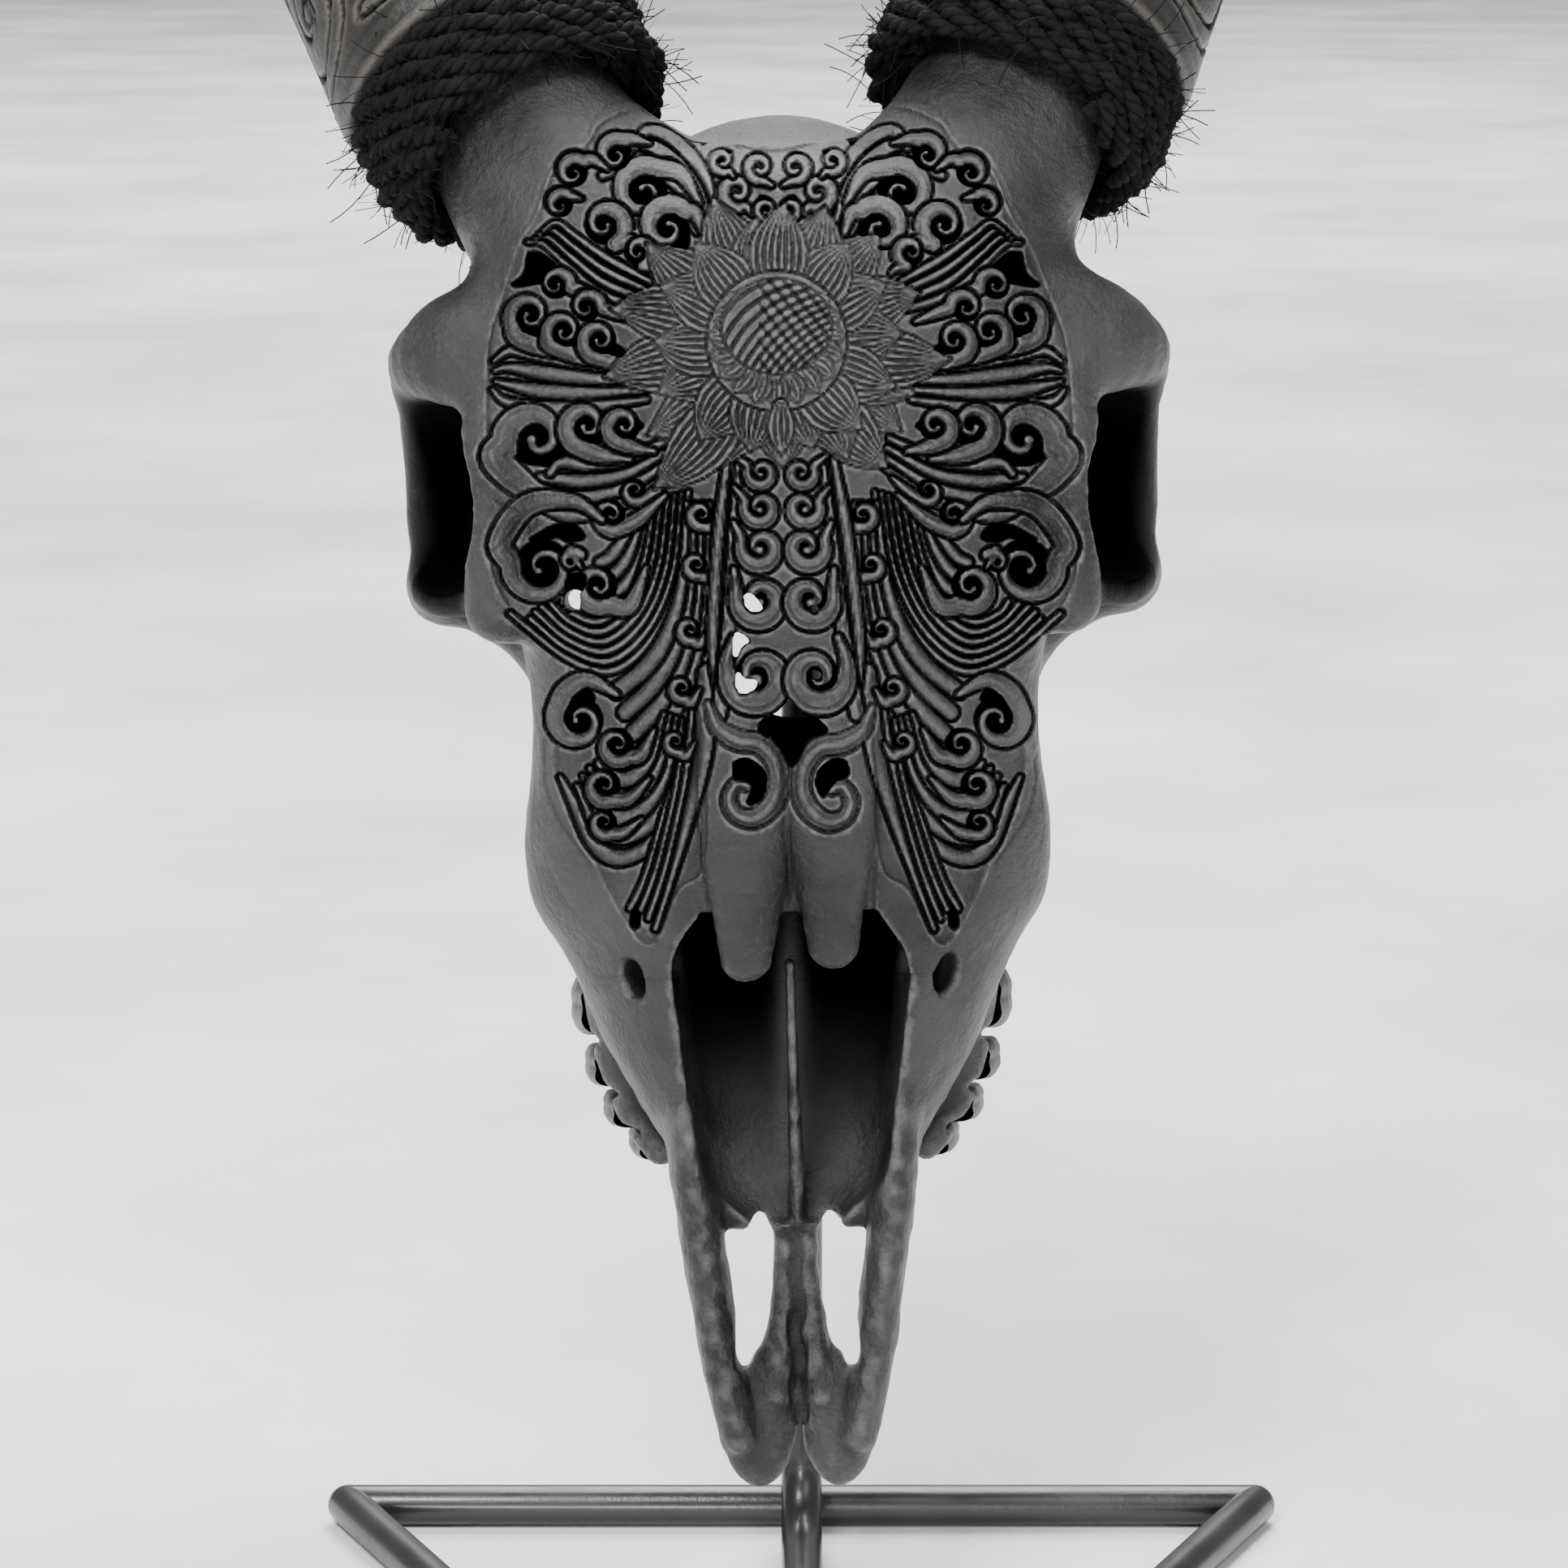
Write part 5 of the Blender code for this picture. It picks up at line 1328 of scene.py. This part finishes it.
def build_horn(side, label, mat):
    """A sheath with a carved belt over its rim, growth rings above it and its rim turned in to the bone."""
    belt_rises = np.arange(0.0, BELT_MESH_END, 0.45)
    rises = np.concatenate([belt_rises, np.linspace(BELT_MESH_END, HORN_LENGTH, 170)])
    angles = math.tau * np.arange(HORN_COLUMNS) / HORN_COLUMNS
    cos, sin = np.cos(angles), np.sin(angles)
    phase = np.random.default_rng(20 + side).uniform(0, math.tau, 4)
    carving = horn_carving(np.arange(HORN_COLUMNS)[None, :] / HORN_COLUMNS, rises[:, None])

    def section(rise, reach, flat=1.0):
        centre, front, across = horn_frame(side, NECK_LENGTH + rise)
        return centre + (cos * reach)[:, None] * front + (sin * reach * flat)[:, None] * across

    inner, lip_radius = CORE_NECK_RADIUS + 1.0, SHEATH_RADIUS - 3.5
    rim = [section(6.0, inner), section(0.0, inner + 0.2), section(0.0, lip_radius)]
    rows = list(rim)
    for rise, carved in zip(rises, carving):
        along = rise / HORN_LENGTH
        shape = min(1.0, along * 2.5)
        reach = sheath_radius(along) * (1.0 + 0.16 * shape * np.maximum(0.0, cos) ** 4)
        # Growth rings, close and uneven, and the long cracks between them
        second = 0.6 * math.sin(rise * 0.93 + phase[1] + 0.6 * math.sin(rise * 0.11))
        ripple = 0.55 * (math.sin(rise * 0.42 + phase[0]) + second) + 0.22 * math.sin(rise * 2.1 + phase[2])
        wave = ripple + 0.18 * np.sin(angles * 3 + rise * 0.05 + phase[3])
        cracks = 0.07 * np.sin(angles * 46 + 0.4 * math.sin(rise * 0.2)) * (1.0 - along)
        fade = min(1.0, max(0.0, (rise - RINGS_START) / 14.0)) * (1.0 - along) ** 0.5
        lip = -1.2 * math.exp(-rise / 0.9)
        reach = reach + fade * (wave + cracks) + BELT_DEPTH * carved + lip
        rows.append(section(rise, reach, 1.0 - 0.18 * shape))
    # Tip closed with two small rings
    tip = horn_line(side, NECK_LENGTH + HORN_LENGTH)[0]
    ahead = horn_line(side, NECK_LENGTH + HORN_LENGTH + 1.0)[0] - tip
    for share, run in ((0.55, 0.5), (0.06, 0.8)):
        rows.append(tip + (rows[-1] - tip) * share + run * ahead)
    points = np.concatenate(rows)
    quads, normals = outward_rings(points, len(rows), HORN_COLUMNS, len(rows) // 2)
    ridge = ridge_measure(points, quads, normals, 3) / RING_RIDGE
    # Painted shade: the cuts of the carved belt get a depth that darkens them
    depth = np.zeros(len(points))
    skip = len(rim) * HORN_COLUMNS
    depth[skip : skip + carving.size] = np.clip(-carving.ravel() / 4.0, 0, 0.6)
    name = f"{label}_horn_sheath"
    mesh = plain_mesh(name, to_world(points), quads, (("depth", depth), ("ridge", ridge)))
    add_piece(name, mesh, f"{label}_horn", mat)


# Rope

# The rope's make: yarns, strands and loose fibres, with lengths in metres and lays in radians a metre
ROPE_MAKE = (
    ("Strands", "Int", 3), ("Yarns", "Int", 3), ("Strand Offset", "Float", 0.00165),
    ("Yarn Offset", "Float", 0.00078), ("Yarn Radius", "Float", 0.00088), ("Lay", "Float", 300.0),
    ("Yarn Lay", "Float", 900.0), ("Step", "Float", 0.0011), ("Unevenness", "Float", 0.0034),
    ("Fibre Density", "Float", 24000.0), ("Fibre Length", "Float", 0.011), ("Seed", "Int", 11),
)

# Layers of turns, the inner one first: where each starts and ends on the neck, its radius, turns and start
ROPE_LAYERS = ((0.30, 0.93, 19.8, 3.3, 0.0), (0.90, 0.10, 24.6, 4.4, 0.32))


def new_input(group, name, kind):
    return group.interface.new_socket(name=name, in_out="INPUT", socket_type=f"NodeSocket{kind}")


def rope_tree():
    """Lays twisted yarns along a curve and sets loose fibres on them."""
    group = bpy.data.node_groups.new("laid_rope", "GeometryNodeTree")
    new_input(group, "Path", "Geometry")
    names = {"Finish": new_input(group, "Finish", "Material").identifier}
    for name, kind, value in ROPE_MAKE:
        socket = new_input(group, name, kind)
        socket.default_value = value
        names[name] = socket.identifier
    group.interface.new_socket(name="Rope", in_out="OUTPUT", socket_type="NodeSocketGeometry")
    tree = Tree(group)
    given = tree.node("NodeGroupInput").outputs
    wanted = {"Curve": given["Path"], "Length": given["Step"]}
    even = tree.node("GeometryNodeResampleCurve", wanted, mode="LENGTH")
    amount = tree.maths("MULTIPLY", given["Strands"], given["Yarns"])
    copies = tree.node("GeometryNodeDuplicateElements", {"Geometry": even, "Amount": amount}, domain="SPLINE")
    index = copies.outputs["Duplicate Index"]
    strand = tree.maths("FLOOR", tree.maths("DIVIDE", index, given["Yarns"]))
    yarn = tree.maths("MODULO", index, given["Yarns"])
    run = tree.node("GeometryNodeSplineParameter").outputs["Length"]
    normal = tree.node("GeometryNodeInputNormal").outputs["Normal"]
    tangent = tree.node("GeometryNodeInputTangent").outputs["Tangent"]
    side = tree.vectors("CROSS_PRODUCT", tangent, normal)

    def turned(count, whole, lay, offset):
        """The way out from the middle line to one of several threads that wind round it."""
        start = tree.maths("MULTIPLY", tree.maths("DIVIDE", count, whole), math.tau)
        angle = tree.maths("ADD", start, tree.maths("MULTIPLY", run, lay))
        first = tree.scaled(normal, tree.maths("COSINE", angle))
        second = tree.scaled(side, tree.maths("SINE", angle))
        return tree.scaled(tree.vectors("ADD", first, second), offset)

    strand_shift = turned(strand, given["Strands"], given["Lay"], given["Strand Offset"])
    lay_back = tree.maths("MULTIPLY", given["Yarn Lay"], -1.0)
    yarn_shift = turned(yarn, given["Yarns"], lay_back, given["Yarn Offset"])
    place = tree.node("GeometryNodeInputPosition").outputs[0]
    noise = tree.node("ShaderNodeTexNoise", {"Vector": place, "Scale": 130.0, "Detail": 2.0}).outputs["Color"]
    rough = tree.scaled(tree.vectors("SUBTRACT", noise, (0.5, 0.5, 0.5)), given["Unevenness"])
    total = tree.vectors("ADD", tree.vectors("ADD", strand_shift, yarn_shift), rough)
    laid = tree.node("GeometryNodeSetPosition", {"Geometry": copies.outputs["Geometry"], "Offset": total})
    ring = tree.node("GeometryNodeCurvePrimitiveCircle", {"Resolution": 6, "Radius": given["Yarn Radius"]})
    solid = tree.node("GeometryNodeCurveToMesh", {"Curve": laid, "Profile Curve": ring, "Fill Caps": True})
    # Loose fibres standing out of the yarns, shaped at a length of one
    spots = tree.node("GeometryNodeDistributePointsOnFaces", {
        "Mesh": solid, "Density": given["Fibre Density"], "Seed": given["Seed"]})
    hair = tree.node("GeometryNodeCurveQuadraticBezier", {
        "Resolution": 4, "Start": (0.0, 0.0, -0.0002), "Middle": (0.0008, 0.0, 0.5), "End": (0.25, 0.0, 0.9)})
    thin = tree.node("GeometryNodeCurvePrimitiveCircle", {"Resolution": 3, "Radius": 0.012})
    fibre = tree.node("GeometryNodeCurveToMesh", {"Curve": hair, "Profile Curve": thin})
    turns = {0: (-1.1, -1.1, -3.1), 1: (1.1, 1.1, 3.1), "Seed": given["Seed"]}
    random_turn = tree.node("FunctionNodeRandomValue", turns, data_type="FLOAT_VECTOR").outputs[0]
    turn = tree.node("FunctionNodeRotateRotation", {
        "Rotation": spots.outputs["Rotation"], "Rotate By": random_turn}, rotation_space="LOCAL")
    sizes = {2: 0.35, 3: 1.0, "Seed": given["Seed"]}
    random_size = tree.node("FunctionNodeRandomValue", sizes, data_type="FLOAT").outputs[1]
    size = tree.maths("MULTIPLY", random_size, given["Fibre Length"])
    hairs = tree.node("GeometryNodeInstanceOnPoints", {
        "Points": spots.outputs["Points"], "Instance": fibre, "Rotation": turn, "Scale": size})
    joined = tree.node("GeometryNodeJoinGeometry")
    tree.feed(joined, {0: hairs})
    tree.feed(joined, {0: solid})
    real = tree.node("GeometryNodeRealizeInstances", {"Geometry": joined})
    done = tree.node("GeometryNodeSetMaterial", {"Geometry": real, "Material": given["Finish"]})
    tree.node("NodeGroupOutput", {"Rope": done})
    return group, names


def made_mesh(source, group, values, name):
    """Runs a node tree on an object and gives its result as a plain mesh."""
    modifier = source.modifiers.new("made", "NODES")
    modifier.node_group = group
    for identifier, value in values.items():
        modifier[identifier] = value
    graph = bpy.context.evaluated_depsgraph_get()
    mesh = bpy.data.meshes.new_from_object(source.evaluated_get(graph))
    mesh.name = name
    bpy.data.objects.remove(source, do_unlink=True)
    return mesh


def rope_path(side):
    """The rope's own line: an inner layer of turns at the bone, then an outer one back over it."""
    points = []
    rise = NECK_LENGTH - ROPE_START
    for start, end, radius, turns, first in ROPE_LAYERS:
        count = int(turns * 40)
        for k in range(count + 1):
            t = k / count
            share = start + (end - start) * t
            angle = math.tau * (turns * t + first) + 0.9
            centre, front, across = horn_frame(side, ROPE_START + rise * share)
            swell = radius - 2.2 * max(0.0, 0.35 - share) / 0.35 + 0.5 * math.sin(angle * 2.7)
            points.append(centre + swell * (math.cos(angle) * front + side * math.sin(angle) * across))
    return points


def build_rope(side, label, group, names, mat):
    """One wrap: its line as a curve, laid up into rope by the node tree."""
    data = bpy.data.curves.new(f"{label}_rope_path", "CURVE")
    data.dimensions = "3D"
    spline = data.splines.new("POLY")
    path = to_world(rope_path(side))
    spline.points.add(len(path) - 1)
    spline.points.foreach_set("co", np.column_stack([path, np.ones(len(path))]).ravel())
    source = new_object(f"{label}_rope_path", data)
    values = {names[name]: value for name, _, value in ROPE_MAKE}
    values[names["Seed"]] += side
    values[names["Finish"]] = mat
    name = f"{label}_rope_wrap"
    mesh = made_mesh(source, group, values, name)
    mesh.shade_smooth()
    add_piece(name, mesh, f"{label}_rope")


# Teeth

TOOTH_COLUMNS = 36
TOOTH_RINGS = 20
TOOTH_ROOT = -4.0
TOOTH_HEIGHT = 13.0
TOOTH_SPLAY = 0.16
BITE_SHARES = (0.86, 0.7, 0.52, 0.34, 0.16, 0.02)


def build_tooth(side, label, index, mat):
    """A worn cheek tooth: ribbed sides, and two crescents on the end that bites."""
    x, y, z, width, length = TOOTH_ROWS[index]
    angles = math.tau * np.arange(TOOTH_COLUMNS) / TOOTH_COLUMNS
    ripple = np.random.default_rng(60 + index + 10 * (side > 0)).uniform(-0.3, 0.3, 2)
    cos, sin = np.cos(angles), np.sin(angles)
    outline_x = np.copysign(np.abs(cos) ** 0.7, cos) * (1.0 - 0.13 * np.exp(-((sin / 0.22) ** 2)))
    outline_z = np.copysign(np.abs(sin) ** 0.75, sin)
    rings = []
    for t in np.linspace(0, 1, TOOTH_RINGS):
        depth = TOOTH_ROOT + TOOTH_HEIGHT * t + ripple[1] * cos
        scale = 0.84 + 0.16 * min(1.0, t * 2.4) - 0.40 * max(0.0, t - 0.75)
        scale = scale * (1.0 + 0.035 * np.cos(angles * 6 + ripple[0]) * min(1.0, t * 2))
        rings.append(np.column_stack([outline_x * width / 2 * scale, depth, outline_z * length / 2 * scale]))
    for share in BITE_SHARES:
        px, pz = outline_x * share, outline_z * share
        crescent = np.exp(-(((np.hypot(px, (np.abs(pz) - 0.45) / 0.42) - 0.72) / 0.16) ** 2))
        height = 8.2 + 1.3 * crescent + 0.9 * px + 0.4 * np.cos(pz * 5.0)
        rings.append(np.column_stack([px * width / 2 * 0.92, height, pz * length / 2 * 0.92]))
    points = np.concatenate(rings) * (1.14, 1.12, 1.0)
    points[:, 0] += side * TOOTH_SPLAY * np.maximum(points[:, 1] - TOOTH_ROOT, 0.0)
    points += np.array((side * x, y, z))
    quads, normals = outward_rings(points, len(rings), TOOTH_COLUMNS, 8)
    ridge = ridge_measure(points, quads, normals, 2) / RING_RIDGE
    name = f"{label}_cheek_tooth_{index + 1}"
    mesh = plain_mesh(name, to_world(points), quads, (("depth", np.zeros(len(points))), ("ridge", ridge)))
    add_piece(name, mesh, f"{label}_tooth_{index + 1}", mat)


# Stand

BAR_RADIUS = 0.0038
BASE_WIDTH = 0.172
BASE_DEPTH = 0.164
ROD_BEND = 0.014
ROD_GAP = 0.0007
BAR_SIDES = 28
BAR_CAP = 8
BAR_RINGS = 24

# The rod's line behind the skull and into it, in millimetres back from the rear bar and up from the floor
ROD_KNOTS = (
    (-8.6, 60.0), (-7.0, 100.0), (4.0, 140.0), (26.0, 174.0), (44.5, 197.0), (50.5, 211.0), (46.0, 222.5),
    (34.0, 226.0), (13.0, 223.5),
)


def bar_mesh(name, path, radii):
    """A round bar along a path that lies in one plane or runs straight."""
    path = np.asarray(path, float)
    angles = math.tau * np.arange(BAR_SIDES)[:, None] / BAR_SIDES
    rows = []
    for k, centre in enumerate(path):
        along = unit(path[min(k + 1, len(path) - 1)] - path[max(k - 1, 0)])
        helper = np.array((1.0, 0.0, 0.0)) if abs(along[0]) < 0.5 else np.array((0.0, 0.0, 1.0))
        first = unit(helper - along * (helper @ along))
        rows.append(centre + radii[k] * (np.cos(angles) * first + np.sin(angles) * np.cross(along, first)))
    return plain_mesh(name, np.concatenate(rows), ring_quads(len(rows), BAR_SIDES))


def rounded_bar(start, end):
    """Path and radii of a straight bar with half-round ends."""
    start, end = np.array(start), np.array(end)
    along = unit(end - start)
    out = BAR_RADIUS * np.sin(np.linspace(0, math.pi / 2, BAR_CAP))[1:]
    cap_radii = np.sqrt(np.maximum(1e-4 * BAR_RADIUS**2, BAR_RADIUS**2 - out**2))
    places = [start - along * s for s in out[::-1]]
    places += [start + (end - start) * t for t in np.linspace(0, 1, BAR_RINGS + 1)]
    places += [end + along * s for s in out]
    return places, [*cap_radii[::-1], *([BAR_RADIUS] * (BAR_RINGS + 1)), *cap_radii]


def build_stand(mat):
    """Three bars on the floor and the rod that runs back from their front corner and up into the skull."""
    floor = BAR_RADIUS
    left, right = (-BASE_WIDTH / 2, 0.0, floor), (BASE_WIDTH / 2, 0.0, floor)
    apex = (0.0, -BASE_DEPTH, floor)
    for name, start, end in (("rear_bar", left, right), ("left_bar", apex, left), ("right_bar", apex, right)):
        add_piece(name, bar_mesh(name, *rounded_bar(start, end)), f"stand_{name}", mat)
    upright = -2.0 * BAR_RADIUS - ROD_GAP
    line = [(0.0, -BASE_DEPTH + 2.0 * BAR_RADIUS, floor), (0.0, -BASE_DEPTH / 2, floor)]
    for angle in np.linspace(0, math.pi / 2, 9):
        forward, rise = ROD_BEND * (1 - math.sin(angle)), ROD_BEND * (1 - math.cos(angle))
        line.append((0.0, upright - forward, floor + rise))
    line += [(0.0, y * MM, z * MM) for y, z in ROD_KNOTS]
    path = smooth_path(line, 0.002)
    radii = np.full(len(path), BAR_RADIUS)
    radii[-1] *= 0.05
    radii[-2] *= 0.9
    add_piece("middle_rod", bar_mesh("middle_rod", path, radii), "stand_rod", mat)


# Finishes, floor, light and camera

def build_finishes():
    group = worn_paint_and_shade_group()
    # Four tones each: plain, mottled, the lighter ridge tone (partly rubbed paint, partly painted highlight),
    # and the near-black tone of painted shade in hollows
    black = grey(0.001)
    bone = (grey(0.006), grey(0.058, 0.01), grey(0.105, 0.01), black)
    enamel = (grey(0.004), grey(0.018), grey(0.030), black)
    horn = (grey(0.008, 0.05), grey(0.034, 0.07), grey(0.050, 0.07), grey(0.001, 0.05))
    return {
        "bone": worn_and_shaded_material("dark_painted_bone", group, *bone, smoothness=0.34, grain=900.0, bump=0.8),
        "teeth": worn_and_shaded_material("painted_enamel", group, *enamel, smoothness=0.42, grain=700.0, bump=0.25),
        "horn": worn_and_shaded_material("dark_horn", group, *horn, smoothness=0.38, grain=500.0, bump=0.6),
        "rope": rope_material(),
        "stand": bar_material(),
    }


def rope_material():
    mat, tree, shader, place = new_finish("tarred_fibre", Specular_IOR_Level=0.12)
    patches = tree.noise(place, 420.0, 3.0)
    tree.feed(shader, {
        "Base Color": tree.mix(tree.spread(patches, 0.35, 0.7), grey(0.0015), grey(0.008)),
        "Roughness": tree.spread(patches, 0.3, 0.7, 0.7, 0.95),
        "Normal": tree.bump(tree.noise(place, 2600.0, 3.0), 0.5, 0.0003),
    })
    return mat


def bar_material():
    mat, tree, shader, place = new_finish("satin_black_paint", Coat_Weight=0.15)
    patches = tree.noise(place, 60.0, 4.0)
    tree.feed(shader, {
        "Base Color": tree.mix(tree.spread(patches, 0.3, 0.75), grey(0.004), grey(0.010)),
        "Roughness": tree.spread(patches, 0.3, 0.7, 0.26, 0.42),
        "Normal": tree.bump(tree.noise(place, 1500.0, 2.0), 0.2, 0.0002),
    })
    return mat


def build_floor():
    bm = bmesh.new()
    bmesh.ops.create_circle(bm, cap_ends=True, segments=96, radius=14.0)
    mesh = bpy.data.meshes.new("pale_floor")
    bm.to_mesh(mesh)
    bm.free()
    mat, tree, shader, place = new_finish("pale_floor", Roughness=0.9, Specular_IOR_Level=0.1)
    cloud = tree.spread(tree.noise(place, 4.0, 6.0), 0.32, 0.68)
    tree.feed(shader, {"Base Color": tree.mix(cloud, grey(0.58), grey(0.86))})
    mesh.materials.append(mat)
    new_object("pale_floor", mesh)


def area_light(name, place, aim, size, power):
    """A round soft light that faces its aim."""
    data = bpy.data.lights.new(name, "AREA")
    data.shape = "DISK"
    data.size = size
    data.energy = power
    light = new_object(name, data)
    light.location = place
    light.rotation_euler = (Vector(aim) - Vector(place)).to_track_quat("-Z", "Y").to_euler()


def build_studio():
    world = bpy.data.worlds.new("pale_studio")
    bpy.context.scene.world = world
    world.use_nodes = True
    back = world.node_tree.nodes["Background"]
    back.inputs["Color"].default_value = grey(0.9)
    back.inputs["Strength"].default_value = 0.55
    aim = (0.0, -0.04, 0.20)
    area_light("key_light", (-0.36, -0.86, 1.22), aim, 0.45, 30.0)
    area_light("fill_light", (0.62, -1.04, 0.90), aim, 0.8, 6.0)
    area_light("front_light", (-0.16, -1.25, 0.20), (0.0, -0.08, 0.17), 0.30, 7.0)
    area_light("top_light", (0.10, 0.35, 1.25), aim, 0.7, 20.0)
    area_light("backdrop_light", (0.0, 2.6, 2.6), (0.0, 2.4, 0.0), 2.4, 170.0)


def build_camera():
    data = bpy.data.cameras.new("camera")
    data.sensor_width = 36.0
    data.lens = FOCAL_UNITS / FRAME_UNITS * data.sensor_width
    camera = new_object("camera", data)
    camera.location = CAMERA_PLACE
    camera.rotation_euler = (math.pi / 2 - CAMERA_PITCH, 0.0, 0.0)
    bpy.context.scene.camera = camera


def main():
    build_camera()
    build_studio()
    build_floor()
    finishes = build_finishes()
    build_stand(finishes["stand"])
    group, names = rope_tree()
    for side, label in ((-1, "left"), (1, "right")):
        build_horn(side, label, finishes["horn"])
        build_rope(side, label, group, names, finishes["rope"])
        for index in range(len(TOOTH_ROWS)):
            build_tooth(side, label, index, finishes["teeth"])
    build_skull(carve(), finishes["bone"])


main()
